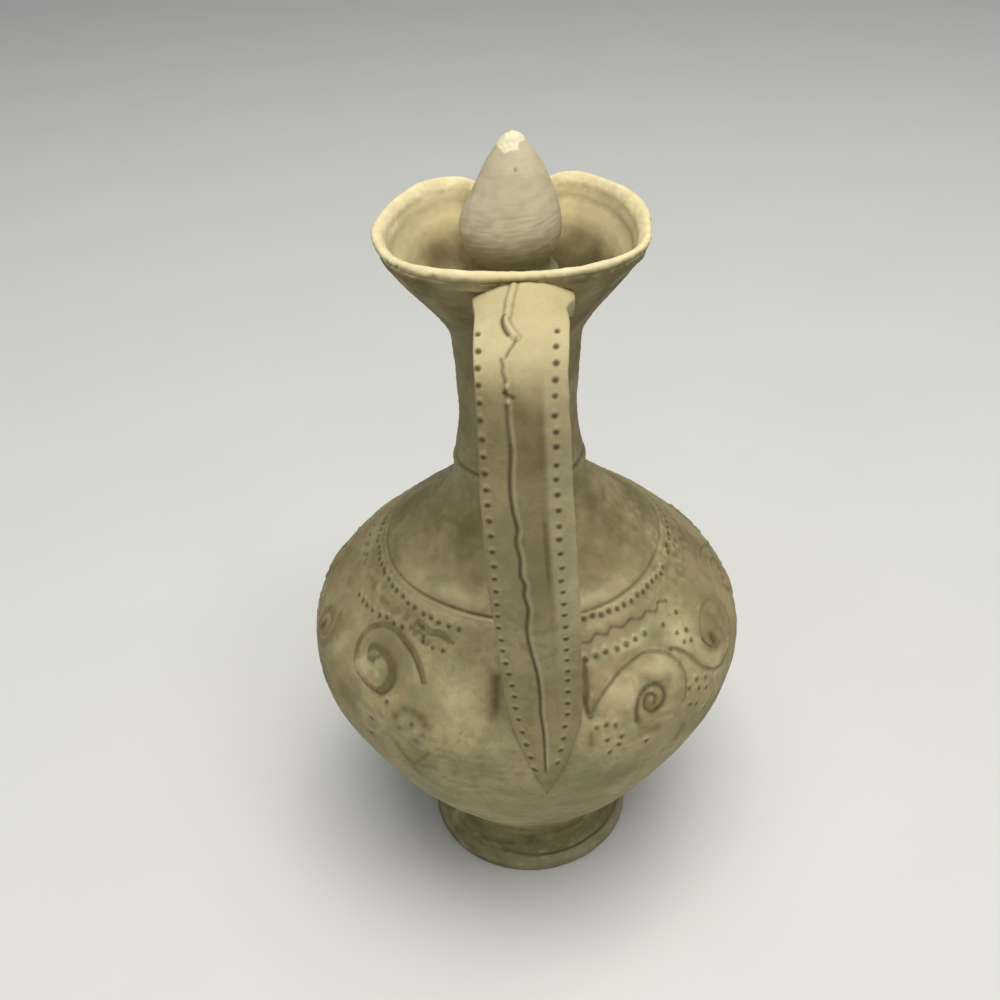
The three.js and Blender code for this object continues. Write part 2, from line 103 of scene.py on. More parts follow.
class Surface:
    """A grid with relief and marks. Strokes are laid on it with row distances v, columns c and each row's
    mm per column unit, the scale."""

    def __init__(self, columns, rows, scale=None):
        self.c, self.v, self.scale = columns, rows, scale
        self.lift = np.zeros((len(rows), len(columns)))
        self.marks = {name: np.zeros_like(self.lift) for name in MARKS}

    def mark(self, name, amount):
        self.marks[name] = np.maximum(self.marks[name], amount)

    def near(self, strokes, reach=2.5):
        """Distance to the nearest stroke, over its half width. A stroke is (c0, v0, c1, v1, half width)."""
        field = np.full(self.lift.shape, reach)
        for c0, v0, c1, v1, half in strokes:
            far = reach * half
            rows = slice(*np.searchsorted(self.v, [min(v0, v1) - far, max(v0, v1) + far]))
            if rows.start == rows.stop:
                continue
            scale = self.scale[rows, None]
            wide = far / scale.min()
            cols = slice(*np.searchsorted(self.c, [min(c0, c1) - wide, max(c0, c1) + wide]))
            du = (self.c[None, cols] - c0) * scale
            dv = self.v[rows, None] - v0
            run, rise = (c1 - c0) * scale, v1 - v0
            share = np.clip((du * run + dv * rise) / (run**2 + rise**2 + 1e-9), 0, 1)
            gap = np.hypot(du - share * run, dv - share * rise) / half
            np.minimum(field[rows, cols], gap, out=field[rows, cols])
        return field

    def lay(self, strokes, height, dark=0.5, pale=0.2, crease=0.2):
        """Raised clay along the strokes, browned, with a shallow crease along both feet."""
        near = self.near(strokes)
        self.lift += height * np.clip(1 - near**2, 0, 1) ** 1.3 - crease * height * bump(near, 1.2, 0.3)
        self.mark("dark", dark * bump(near, 0, 1.1))
        self.mark("pale", pale * np.clip(1 - near / 0.8, 0, 1))

    def cut(self, strokes, depth, dirt_and_shade=0.8):
        """A soft groove along the strokes, darkened along its line: dirt in real grooves, and painted shade
        where a caller lays it under a raised trail.
        """
        near = self.near(strokes)
        self.lift -= depth * bump(near, 0, 0.75)
        self.mark("dirt_and_shade", dirt_and_shade * bump(near, 0, 0.85))

    def shade(self, strokes, amount):
        near = self.near(strokes)
        self.mark("dark", amount * bump(near, 0, 1.0))

    def band(self, strokes, height, dark, edge=0.45):
        """A flat brown band of slip with a darker line along both edges."""
        near = self.near(strokes)
        self.lift += height * smooth(near, 1.4, 0.6) - 0.3 * height * bump(near, 1.2, 0.3)
        self.mark("dark", dark * smooth(near, 1.5, 0.7))
        self.mark("dirt_and_shade", edge * bump(near, 0.95, 0.3))

    def beads(self, places, sizes, below, height=0.3, pale=0.15):
        """Worn blobs of clay: each is now a round pit with a low swelling above it. The dark in the pit is
        painted shadow under the blob, partly dirt, and the pale on the swelling's top is a painted
        highlight.
        """
        tops = self.near(dots(places - [0, 0.7 * below], sizes))
        pits = self.near(dots(places + [0, 0.3 * below], sizes * 0.8))
        self.lift += height * np.clip(1 - tops**2, 0, 1) - 1.1 * height * bump(pits, 0, 0.85)
        self.mark("pale", pale * bump(tops, 0.6, 0.5))
        self.mark("dirt_and_shade", 0.85 * smooth(pits, 1.35, 0.5))


def line(path, half):
    """Strokes along a path of (c, v), of one half width or one for each point."""
    path = np.asarray(path)
    width = np.broadcast_to(half, len(path))
    return [(*path[i], *path[i + 1], width[i]) for i in range(len(path) - 1)]


def dots(places, half):
    width = np.broadcast_to(half, len(places))
    return [(c, v, c, v, w) for (c, v), w in zip(places, width)]


# Helpers for objects

def linked(name, data):
    obj = bpy.data.objects.new(name, data)
    bpy.context.collection.objects.link(obj)
    return obj


def grid_object(name, points, marks, thin_to=None):
    """A closed body from rings of points, with a fan over each end and one number layer per mark."""
    rows, cols, _ = points.shape
    i = np.arange(rows - 1)[:, None] * cols
    j = np.arange(cols)[None, :]
    k = (j + 1) % cols
    quads = np.stack([i + j, i + k, i + cols + k, i + cols + j], -1).reshape(-1, 4)
    start, end = rows * cols, rows * cols + 1
    last = (rows - 1) * cols
    around, after = np.arange(cols), (np.arange(cols) + 1) % cols
    fans = np.vstack([
        np.column_stack([np.full(cols, start), after, around]),
        np.column_stack([np.full(cols, end), last + around, last + after]),
    ])
    flat = np.vstack([points.reshape(-1, 3), points[0].mean(0), points[-1].mean(0)])
    corners = flat[quads]
    volume = np.einsum("ij,ij->", corners[:, 0], np.cross(corners[:, 1], corners[:, 2]))
    if volume < 0:
        quads, fans = quads[:, ::-1], fans[:, ::-1]
    mesh = bpy.data.meshes.new(name)
    mesh.vertices.add(len(flat))
    mesh.vertices.foreach_set("co", (flat * MM).ravel())
    loops = np.concatenate([quads.ravel(), fans.ravel()])
    mesh.loops.add(len(loops))
    mesh.loops.foreach_set("vertex_index", loops)
    starts = np.concatenate([np.arange(len(quads)) * 4, len(quads) * 4 + np.arange(len(fans)) * 3])
    mesh.polygons.add(len(starts))
    mesh.polygons.foreach_set("loop_start", starts)
    for label, values in marks.items():
        layer = mesh.attributes.new(label, "FLOAT", "POINT")
        padded = np.concatenate([values.ravel(), [values[0].mean(), values[-1].mean()]])
        layer.data.foreach_set("value", padded.astype(np.float32))
    mesh.update(calc_edges=True)
    mesh.validate()
    mesh.shade_smooth()
    obj = linked(name, mesh)
    triangles = 2 * len(quads) + len(fans)
    if thin_to and triangles > thin_to:
        thin = obj.modifiers.new("thin", "DECIMATE")
        thin.ratio = thin_to / triangles
        ready = bpy.context.evaluated_depsgraph_get()
        obj.data = bpy.data.meshes.new_from_object(obj.evaluated_get(ready))
        obj.modifiers.clear()
        obj.data.shade_smooth()
    return obj


def displaced(points, lift):
    """The rings of points with each point moved along its normal."""
    along = np.roll(points, -1, 1) - np.roll(points, 1, 1)
    up = np.gradient(points, axis=0)
    normal = np.cross(along, up)
    normal /= np.linalg.norm(normal, axis=-1, keepdims=True) + 1e-12
    return points + normal * lift[..., None]


def hollow(lift, rounds):
    """How far each point lies below the average of its neighbours."""
    mean = lift
    for _ in range(rounds):
        padded = np.pad(mean, ((1, 1), (0, 0)), mode="edge")
        mean = (padded[:-2] + padded[2:] + np.roll(mean, 1, 1) + np.roll(mean, -1, 1)) / 4
    return mean - lift


# Body: the wall's side view, as (radius, height) from the foot to the lip

OUTER_WALL = [
    (40.4, 0.9), (40.3, 3.2), (39.7, 5.2), (39.1, 7), (37.4, 10.3), (35.6, 15), (35.4, 20), (38.4, 26),
    (45.8, 36), (56.4, 51.5), (66, 68.5), (74, 86), (77.4, 95), (78.6, 103), (76.9, 114.5), (71.6, 122.5),
    (64.6, 130), (53.6, 140), (42.1, 150), (32.6, 158), (26.8, 164), (23.4, 169), (22.6, 174), (21.9, 179),
    (20.6, 186), (19.5, 196), (19.9, 206), (20.3, 216), (21.6, 225.5), (25, 232), (32, 242), (40.3, 254.6),
]
LIP = [
    (40.3, 254.6), (40.5, 256), (41, 257.3), (41.6, 258.4), (41.5, 259.4), (40.6, 260.05), (39.5, 259.9),
    (38.3, 259), (37.5, 257.8), (37, 256.4),
]
FUNNEL = [
    (37, 256.4), (35.9, 254.2), (35.6, 253), (34.6, 251.4), (27.4, 241.6), (20.2, 232.6), (15.2, 228.4),
    (14, 225),
]
INSIDE = [
    (14, 225), (14, 200), (14.2, 176), (17.5, 164.5), (26.5, 155.5), (37.5, 146), (55.5, 128.5),
    (66.5, 118.5), (73.2, 105), (72.5, 94), (66.5, 82), (54.5, 60), (42.5, 39.5), (30, 23.5), (15, 16.2),
    (0.6, 15),
]
UNDERSIDE = [
    (0.6, 7), (15, 7), (28.5, 7), (31.6, 5.2), (32.8, 2.2), (33.6, 0.5), (35.2, 0), (38.9, 0), (40.4, 0.9),
]

HALF_TURN = 180.0
# Heights of the rows that are closest together, and the top of the foot
ORNAMENT_FROM, ORNAMENT_TO = 88, 148
FOOT_TOP = 24
# Degrees round the jug from the handle's middle, closest together in view and at the spout
COLUMNS = np.concatenate([
    np.arange(-180, -150, 0.3), np.arange(-150, -100, 0.5), np.arange(-100, 100, 0.32),
    np.arange(100, 150, 0.5), np.arange(150, 180, 0.3),
])


def wall_rows():
    """Radius and height of each ring of points, from under the foot round to the floor inside."""
    fine = smooth_path(OUTER_WALL, 0.4)
    height, count = fine[:, 1], np.arange(len(fine))
    dense = (height > ORNAMENT_FROM) & (height < ORNAMENT_TO)
    half_dense = (height < FOOT_TOP) | (height > ORNAMENT_TO)
    wanted = dense | (count % 2 == 0) & half_dense | (count % 3 == 0)
    wanted[[0, -1]] = True
    wall = fine[wanted]
    parts = [
        smooth_path(UNDERSIDE, 1.2)[:-1], wall[:-1], smooth_path(LIP, 0.5)[:-1],
        smooth_path(FUNNEL, 0.9)[:-1], smooth_path(INSIDE, 3.0),
    ]
    first = len(parts[0])
    return np.vstack(parts), slice(first, first + len(wall))


PROFILE, OUTSIDE = wall_rows()
PAST_LIP = (np.arange(len(PROFILE)) >= OUTSIDE.stop)[:, None]
outer_r, outer_z = PROFILE[OUTSIDE].T
row_v = np.concatenate([[0], np.cumsum(np.hypot(np.diff(outer_r), np.diff(outer_z)))])


def v_at(z):
    return np.interp(z, outer_z, row_v)


# Plan of the mouth: a round lobe between two sharp pinches
LIP_RADIUS = 41.6
PINCH_ANGLE = 17.5
PINCH_DEPTH = 10.5
SPOUT_REACH = 6.5
CORNER_REACH = 1.5
RIM_DIP = 0.45
# Heights between which the mouth passes from round to pinched
FLARE_FROM, FLARE_TO = 227, 258


def rim_offset(angle):
    """How far the rim lies outside a circle; it was pinched by hand, so left and right differ a little."""
    from_spout = HALF_TURN - np.abs(angle)
    away = np.hypot(np.abs(from_spout) - PINCH_ANGLE, 1.3) - 1.3
    spout = np.exp(-((from_spout / PINCH_ANGLE) ** 2))
    corner = np.cos(np.radians(4 * from_spout))
    even = SPOUT_REACH * spout - PINCH_DEPTH * np.exp(-away / 3.2) - CORNER_REACH * corner
    lobes = 1.6 * bump(angle, -145, 13) + 2.6 * bump(angle, 149, 12)
    cheeks = 1.9 * bump(angle, -84, 17) + 1.2 * bump(np.abs(angle), 58, 16) + 0.7 * bump(angle, 88, 16)
    return even + lobes + cheeks


def body_points():
    """The turned wall with its pinched mouth, before the ornament."""
    radius, z = PROFILE[:, :1], PROFILE[:, 1:]
    offset = rim_offset(COLUMNS)[None]
    slope = np.gradient(offset[0], np.radians(COLUMNS))[None]
    share = smooth(z, FLARE_FROM, FLARE_TO) * (z > 200)
    outer_here = np.where(z > 256, LIP_RADIUS, np.interp(z, outer_z, outer_r))
    thickness = np.maximum(outer_here - radius, 0) * (np.arange(len(PROFILE)) >= OUTSIDE.start)[:, None]
    outer = outer_here + share * offset
    oblique = np.minimum(np.hypot(1, share * slope / outer), 1.9)
    reach = np.where(z > 200, outer - thickness * oblique, radius)
    angle = np.radians(COLUMNS)[None]
    height = z - RIM_DIP * smooth(z, 240, 258) * bump(COLUMNS[None], 0, 62)
    return np.stack([reach * np.sin(angle), -reach * np.cos(angle), height], -1)


# Ornament on the body. Places are (angle from the handle in degrees, height); paths are measured out in mm
# at the belly's radius.
ORNAMENT_RADIUS = 72.0
MM_PER_DEGREE = math.radians(ORNAMENT_RADIUS)


def on_wall(places):
    places = np.asarray(places, float)
    return np.column_stack([places[:, 0], v_at(places[:, 1])])


def wall_path(places, spacing):
    return smooth_path(on_wall(places) * [MM_PER_DEGREE, 1], spacing) / [MM_PER_DEGREE, 1]


def wall_line(places, half, spacing=1.0):
    """Strokes along a smooth path through places on the body."""
    return line(wall_path(places, spacing), half)


def tapered(places, widths):
    """Strokes along a smooth path whose half width goes through the given values."""
    path = wall_path(places, 0.8)
    turns = np.linspace(0, len(widths) - 1, len(path))
    return line(path, np.interp(turns, np.arange(len(widths)), widths))


def bead_row(first, last, z_first, z_last, pitch):
    """Places of a row of beads laid by hand."""
    count = int(abs(last - first) / pitch)
    at = np.linspace(first, last, count + 1)
    z = np.interp(at, sorted([first, last]), [z_first, z_last] if first < last else [z_last, z_first])
    at = at + rng.normal(0, 0.22, len(at))
    return list(zip(at, z + rng.normal(0, 0.22, len(at))))


def zigzag(first, last, z_first, z_last, period):
    """A wavy trail of clay that steps up and down."""
    corners = int(abs(last - first) / period * 2)
    at = np.linspace(first, last, corners + 1)
    z = np.linspace(z_first, z_last, corners + 1)
    side = np.where(np.arange(corners + 1) % 2, 0.75, -0.75)
    jitter = rng.normal(0, 0.16, (2, corners + 1))
    return np.column_stack([at + jitter[0] * 2, z + side + jitter[1]])


def spiral(centre, z, radius, turns, start, direction):
    """A spiral from its outer end inwards; start is the outer end's angle in degrees."""
    share = np.linspace(0, 1, int(14 * turns))
    angle = np.radians(start) + direction * 2 * math.pi * turns * share
    reach = radius * (1 - share) ** 0.8 + 0.6
    around = centre + reach * np.cos(angle) / MM_PER_DEGREE
    return np.column_stack([around, z + reach * np.sin(angle) * 0.82])


GROOVE_Z = 144.0
# On the sides turned away the scroll repeats in bays with a coil in each, from the first coil on the right
SCROLL_PITCH = 28.0
FIRST_COIL = 31.8
HIDDEN_BAYS = range(2, 9)
STEM_START = [(16.5, 134.4), (15.6, 130.7), (14.8, 127.5), (13.9, 124.5), (14.3, 121.2)]
RIGHT_STEM = [
    (14.3, 121.2), (16.7, 124.3), (18.8, 126), (22.2, 127.9), (26.2, 129.7), (30.5, 130.6), (35.5, 130.8),
    (39.5, 129.5), (42.4, 127.4), (44.2, 124), (44, 120.8), (42.6, 117.6), (40.6, 114.6),
]
RIGHT_BRANCH = [
    (44.8, 127.9), (46.8, 126.3), (48.4, 124.1), (49.4, 121.5), (50.7, 118.6), (53.5, 115.2),
    (56.6, 113.2), (60.2, 112.5), (64.6, 113.2), (69, 116), (72.6, 120.2), (73, 124.6), (69, 127.6),
    (63.5, 128.2), (58.8, 126.8), (56, 124.1), (55.6, 121), (57.7, 118.5), (61.8, 117.8),
]
RIGHT_COIL_BAND = [
    (31.4, 110.7), (28.9, 111.8), (26.8, 114.2), (25.6, 117.2), (25.9, 120.4), (28, 123.1), (31, 124.5),
    (34.4, 124.2), (38.1, 122),
]
RIGHT_COIL_LINE = [
    (26, 116.2), (26.8, 119.2), (29, 121.9), (31.8, 123), (34.5, 122.6), (36, 120.8), (35.6, 118.6),
    (34.1, 117.3), (32.2, 116.5), (30.2, 116.7), (29, 118.6), (29.8, 120.6), (31.6, 121.2), (32.9, 119.8),
    (32, 118.6),
]
LEFT_ARC = [
    (-31.2, 127.1), (-33.8, 129.6), (-37.7, 132.2), (-42.1, 133.6), (-47.5, 134.5), (-53, 133.7),
    (-56.6, 131.2), (-57.9, 127.6), (-56.6, 124.2), (-54.1, 121.3), (-50.2, 120), (-45.7, 119.4),
    (-43.3, 119.8),
]
LEFT_COMMA = [
    (-43.3, 119.8), (-41.7, 122.1), (-41.2, 125.1), (-42.6, 127.4), (-45.2, 128.5), (-48.8, 129),
    (-51.8, 128.6), (-52.8, 127.2),
]
LEFT_COMMA_WIDTHS = [1.0, 1.5, 1.9, 1.9, 1.7, 1.3, 1.0, 0.8]
LEFT_HOOK = [(-52.9, 126.6), (-51.8, 124.8), (-50.2, 124.7), (-49.3, 126), (-48.4, 127)]
RIGHT_ZIGZAG = [
    (17.5, 138), (20.1, 137.7), (22.5, 138.9), (26.4, 138), (29, 139.1), (33.1, 138), (36.9, 138.7),
    (41.2, 137.5), (44.2, 138.1), (47.9, 136.7), (51, 137.8), (54.4, 136.5),
]
LEFT_ZIGZAG = [
    (-72, 138.2), (-68, 137.2), (-65, 138.4), (-61, 137.4), (-57.5, 138.6), (-53.5, 137.6), (-49.8, 138.9),
    (-45.9, 139.2), (-44, 137.9), (-40.8, 138.8), (-38, 138.2), (-35.2, 137.8), (-32.4, 138.2),
    (-30, 138.1), (-26, 137.2),
]
LOOSE_DOTS = [
    (47, 116.8), (50.3, 114.9), (43.7, 116.1), (46.8, 113.8), (49.8, 111.4), (42.7, 110.8), (45.1, 109),
    (48.5, 103.7), (49.8, 129.4), (53.4, 128.2), (50, 126.6), (52.5, 125.6), (54.5, 132.9), (47, 133.1),
    (15.4, 118), (18, 118.1), (20.3, 117.3), (17.6, 113.4), (21.3, 113.2), (20.4, 110.8), (18, 108.7),
    (27.9, 107.5), (-38.5, 138.3), (-36.8, 136.4), (-36.4, 135.4), (-32.2, 135), (-28.6, 135.2),
    (-39.8, 118.5), (-43.5, 110.5), (-43.7, 103.8),
]
EATEN_TRAIL = [
    (-42.6, 137), (-40.2, 136.2), (-38.4, 137.2), (-36.6, 136.4), (-34.9, 135.4), (-41.2, 138.3),
]
ROSETTE = (-31.3, 115.5)
ROSETTE_DOTS = [
    (-34.1, 118.7), (-36.2, 115.5), (-31.3, 118.9), (-29.1, 118.3), (-27.5, 117.1), (-27.9, 113.3),
    (-29.6, 110.3), (-34.6, 112.6),
]
ROSETTE_SMEAR = [(-36, 116.5), (-34.2, 118.9), (-31.6, 119.2), (-29.2, 118.4), (-27.4, 116.8)]
SPRIG = [
    [(-31.2, 98.2), (-29.6, 91.5)], [(-31.2, 98.2), (-35.2, 105.3)], [(-31.2, 98.2), (-26.3, 106.7)],
    [(-31.2, 98.2), (-25.4, 101.3)], [(37.4, 99.9), (39.8, 104.3)], [(13.7, 116.4), (13.5, 112.7)],
]


def hidden_dots():
    """Groups of dots under the scroll on the sides that are turned away."""
    places = []
    for bay in HIDDEN_BAYS:
        centre = FIRST_COIL + (bay + 0.5) * SCROLL_PITCH
        for ring in range(7):
            turn = 2 * math.pi * ring / 6
            size = 0 if ring == 6 else 3.1
            places.append((centre + size * math.cos(turn), 113.4 + 1.3 * size * math.sin(turn)))
    return wrapped(places)


def wrapped(places):
    """The same places with their angles between -180 and 180."""
    return [((a + 180) % 360 - 180, z) for a, z in places]


def split_wrapped(path):
    """A path round the body, cut where it passes the spout's side."""
    path = np.asarray(path)
    turns = np.floor((path[:, 0] + 180) / 360)
    cuts = np.flatnonzero(np.diff(turns)) + 1
    parts = []
    for part in np.split(np.arange(len(path)), cuts):
        reach = np.arange(part[0], min(part[-1] + 2, len(path)))
        parts.append(path[reach] - [360 * turns[part[0]], 0])
    return parts


# On the body the rows run upwards, so below is -1; on the handle they run down
BELOW = -1


def shifted(path, right, up):
    """The same path moved by a little, in mm."""
    return np.asarray(path) + [right / MM_PER_DEGREE, up]


def trail(wall, path, half=1.05, height=0.4, dark=0.5, dirt_and_shade=0.6):
    """A thin trail of slip: a low browned ridge with a soft dark line along its lower side, which is
    painted shade under the ridge, partly dirt.
    """
    wall.lay(wall_line(path, half), height, dark)
    wall.cut(wall_line(shifted(path, 0.15, -0.35), 0.8), 0.22, dirt_and_shade)


def ornament(wall):
    """Beads, wavy trails, scrolls and dots on the body."""
    right = bead_row(20.5, 66, 142.5, 141.4, 3.5) + bead_row(16.8, 39, 134.2, 134.0, 3.25)
    left = bead_row(-69, -25.5, 141.6, 140.6, 3.85) + bead_row(-72, -46, 132.8, 136.0, 3.7)
    left += wrapped(bead_row(75, 289, 141.6, 141.6, 3.8))
    # The third value in each row is the painted highlight on the beads' tops.
    for row, size, pale in ((right, 1.45, 0.36), (left, 1.3, 0.16)):
        places = on_wall(row)
        wall.beads(places, size * rng.uniform(0.88, 1.08, len(places)), BELOW, 0.32, pale)

    trail(wall, RIGHT_ZIGZAG, 0.9, 0.3, 0.35, 0.6)
    wall.shade(dots(on_wall(RIGHT_ZIGZAG[1::2]) - [0, 0.5], 1.2), 0.5)
    wall.band(wall_line(LEFT_ZIGZAG[3:-4], 1.0), 0.2, 0.5, 0.0)
    wall.band(tapered(LEFT_ZIGZAG[-6:], [0.8, 1.0, 1.0, 0.9, 0.7, 0.3]), 0.3, 0.9, 0.5)
    wall.band(dots(on_wall(EATEN_TRAIL), 1.0), 0.3, 0.8, 0.35)
    for path in split_wrapped(zigzag(84, 276, 137.4, 137.4, 5.8)):
        trail(wall, path, 0.8, 0.35, 0.35, 0.5)

    wall.band(tapered(STEM_START, [0.5, 1.1, 1.2, 1.1, 0.7]), 0.25, 1.0, 0.0)
    wall.cut(tapered(STEM_START, [0.4, 0.9, 1.0, 0.9, 0.6]), 0.2, 0.55)
    wall.shade(dots(on_wall(STEM_START) + [1.6, 0], 1.3), 0.7)
    wall.cut(wall_line([(13.6, 125.5), (14.2, 121.4), (16.4, 124.4)], 0.75), 0.25, 0.7)
    trail(wall, RIGHT_STEM)
    trail(wall, RIGHT_BRANCH[:9], 1.15, 0.4, 0.6, 0.7)
    trail(wall, RIGHT_BRANCH[8:], 1.2, 0.25, 0.7, 0.3)
    wall.cut(dots(on_wall([(44.6, 127.4)]), 1.2), 0.25, 0.8)
    wall.shade(wall_line(RIGHT_COIL_BAND, 1.9), 0.8)
    wall.shade(dots(on_wall([(31.2, 118.6)]), 4.4), 1.0)
    wall.cut(wall_line(RIGHT_COIL_LINE[:9], 1.25), 0.4, 0.85)
    wall.cut(wall_line(RIGHT_COIL_LINE[8:], 0.9), 0.3, 0.8)
    wall.shade(dots(on_wall([(60.0, 121.4)]), 4.8), 0.9)
    wall.cut(dots(on_wall([(60.4, 120.8), (60.0, 119.6)]), 2.1), 0.6, 0.9)
    wall.cut(wall_line([(56.4, 123.2), (57.0, 120.4), (58.9, 118.4), (61.6, 118.2)], 0.9), 0.3, 0.75)

    wall.band(tapered(LEFT_ARC, [0.8, 1.0, 1.05, 0.95, 0.9, 0.85, 0.8, 0.75, 0.7]), 0.3, 1.0, 0.2)
    # The lines moved to the lower side of the arc and the comma are painted shade under their raised edges,
    # partly dirt.
    wall.cut(wall_line(shifted(LEFT_ARC[:4], -0.75, -0.5), 0.6), 0.15, 0.6)
    wall.band(tapered(LEFT_COMMA, LEFT_COMMA_WIDTHS), 0.4, 1.0, 0.0)
    wall.shade(tapered(shifted(LEFT_COMMA, 0.5, -0.3), LEFT_COMMA_WIDTHS), 1.0)
    wall.cut(wall_line(shifted(LEFT_COMMA[:4], 1.4, -0.6), 0.9), 0.22, 0.6)
    wall.cut(tapered(LEFT_COMMA, LEFT_COMMA_WIDTHS), 0.0, 0.3)
    wall.shade(dots(on_wall([(-44.2, 129.6), (-46.8, 130.4)]), 4.6), 0.5)
    wall.shade(dots(on_wall([LEFT_HOOK[2]]), 2.4), 0.9)
    wall.cut(dots(on_wall([(-51.0, 125.2), (-49.9, 125.4)]), 1.7), 0.25, 0.8)
    wall.cut(wall_line(LEFT_HOOK, 0.85), 0.25, 0.5)
    far_coil = spiral(-75.5, 119.4, 8.0, 1.7, 60, -1)
    wall.band(line(on_wall(far_coil), 1.3), 0.2, 0.7, 0.1)
    wall.cut(dots(on_wall([(-76.5, 118.0), (-77.0, 116.8)]), 2.2), 0.5, 0.9)

    for bay in HIDDEN_BAYS:
        up = 1 if bay % 2 == 0 else -1
        centre = FIRST_COIL + bay * SCROLL_PITCH
        coil = spiral(0, 120.5, 8.2, 1.9, -100 * up, up)
        coil = coil + [(centre + 180) % 360 - 180, 0]
        trail(wall, coil, 1.1, 0.6, 0.5, 0.7)
    at = np.linspace(80, 276, 60)
    stem = np.column_stack([at, 121.5 + 9.0 * np.cos(np.pi * (at - FIRST_COIL) / SCROLL_PITCH)])
    for path in split_wrapped(stem):
        trail(wall, path)

    loose = on_wall(LOOSE_DOTS + hidden_dots())
    wall.beads(loose, rng.uniform(1.05, 1.35, len(loose)), BELOW, 0.22, 0.15)
    wall.shade(wall_line(ROSETTE_SMEAR, 2.0), 0.75)
    wall.shade(dots(on_wall(ROSETTE_DOTS), 2.2), 0.55)
    wall.cut(dots(on_wall(ROSETTE_DOTS), 1.3), 0.18, 0.45)
    wall.cut(dots(on_wall([ROSETTE]), 1.1), 0.25, 0.7)
    for path in SPRIG:
        wall.shade(line(on_wall(path), 2.2), 0.55)
        wall.cut(line(on_wall(path), 0.8), 0.15, 0.3)
    wall.shade(line(on_wall([(-10.6, 131.6), (-10.4, 128.0), (-10.4, 123.6)]), 2.8), 1.0)
    wall.cut(line(on_wall([(-10.2, 131.4), (-10.0, 128.0), (-10.0, 124.6)]), 1.5), 0.15, 0.6)


# Soft dark patches and paler ones on the body: (angle, height, half width in mm, half height in mm, amount)
# The dark patches at about ±92° to ±100°, the body's edges in view, are painted shade where the light falls
# off; the others are stains.
DARK_PATCHES_AND_EDGE_SHADE = [
    (-100, 150, 12, 12, 0.9), (-72, 158, 10, 10, 0.65), (-40, 161, 7, 9, 0.9), (-24, 151, 5, 6, 0.6),
    (-86, 144, 9, 8, 0.7), (-66, 123, 6, 8, 0.6), (-49, 137, 9, 4, 0.5), (64, 122, 8, 9, 0.75),
    (63, 157, 10, 10, 0.9), (-36, 155, 2, 2.2, 0.5), (-45, 157, 1.6, 2, 0.5), (-51, 152, 2.2, 2.4, 0.35),
    (-75, 145, 7, 8, 0.6), (-98, 128, 12, 12, 0.8), (-84, 132, 6, 6, 0.5), (-56, 110.5, 5, 4, 0.55),
    (-51, 110, 3, 4, 0.5), (-62, 116, 5, 4, 0.4), (-10.6, 128.5, 2.4, 6, 0.9), (-18, 137, 6, 3, 0.45),
    (-33, 136.5, 9, 2.5, 0.3), (62, 165, 7, 9, 0.8), (66, 158, 3, 6, 0.5), (100, 150, 14, 10, 0.9),
    (92, 135, 10, 12, 0.8), (44, 152, 13, 7, 0.55), (33, 154, 8, 9, 0.5), (78, 140, 6, 7, 0.5),
    (-68, 103, 9, 6, 0.4), (66, 148, 8, 8, 0.6), (98, 118, 9, 14, 0.6), (-98, 110, 9, 14, 0.6),
    (75, 100, 12, 5, 0.4), (-15, 103, 13, 6, 0.5), (-31, 102, 6, 3, 0.35), (20, 92, 16, 6, 0.4),
    (-5, 92, 14, 6, 0.4), (-5, 108, 5, 7, 0.3), (-36, 124, 8, 4, 0.3), (40, 104, 2, 1.2, 0.6),
    (16, 96, 6, 3, 0.3), (50, 96, 9, 5, 0.35),
]
PALE_PATCHES = [
    (-30, 147.2, 14, 3, 0.35), (-52, 146.5, 9, 3, 0.25), (27, 146, 14, 2.4, 0.4), (50, 128, 7, 5, 0.4),
    (25, 124, 7, 5, 0.45), (40, 126, 9, 4, 0.4), (-64, 122, 3.5, 6, 0.3), (-50.5, 123.5, 4, 4, 0.45),
    (-22, 126, 6, 6, 0.25), (30, 134, 12, 2, 0.35), (24, 140.5, 10, 1.6, 0.35), (-36, 142.6, 13, 1.2, 0.3),
    (57, 114.6, 8, 2.5, 0.35), (-58, 12, 1.8, 5, 0.35), (-63, 130, 5, 3, 0.25),
]
# Patches where the surface is eaten into lumps
EATEN_PATCHES = [
    (78, 141, 20, 9, 1), (86, 152, 12, 8, 0.6), (-66, 137.5, 12, 3.5, 0.8), (-48, 137.5, 9, 2.6, 0.9),
    (-37, 136, 6, 2.4, 0.9), (-80, 146, 8, 6, 0.6), (-31, 114, 8, 6, 0.45),
]


def patch(wall, spots, edge):
    """Soft patches; edge is how steeply each point's place counts, which makes their outline ragged."""
    total = np.zeros_like(wall.lift)
    for angle, z, wide, high, amount in spots:
        du = ((wall.c[None] - angle + 180) % 360 - 180) * wall.scale[:, None] / wide
        dv = (wall.v[:, None] - v_at(z)) / high
        total = np.maximum(total, amount * np.exp(-((du**2 + dv**2) * edge)))
    return total


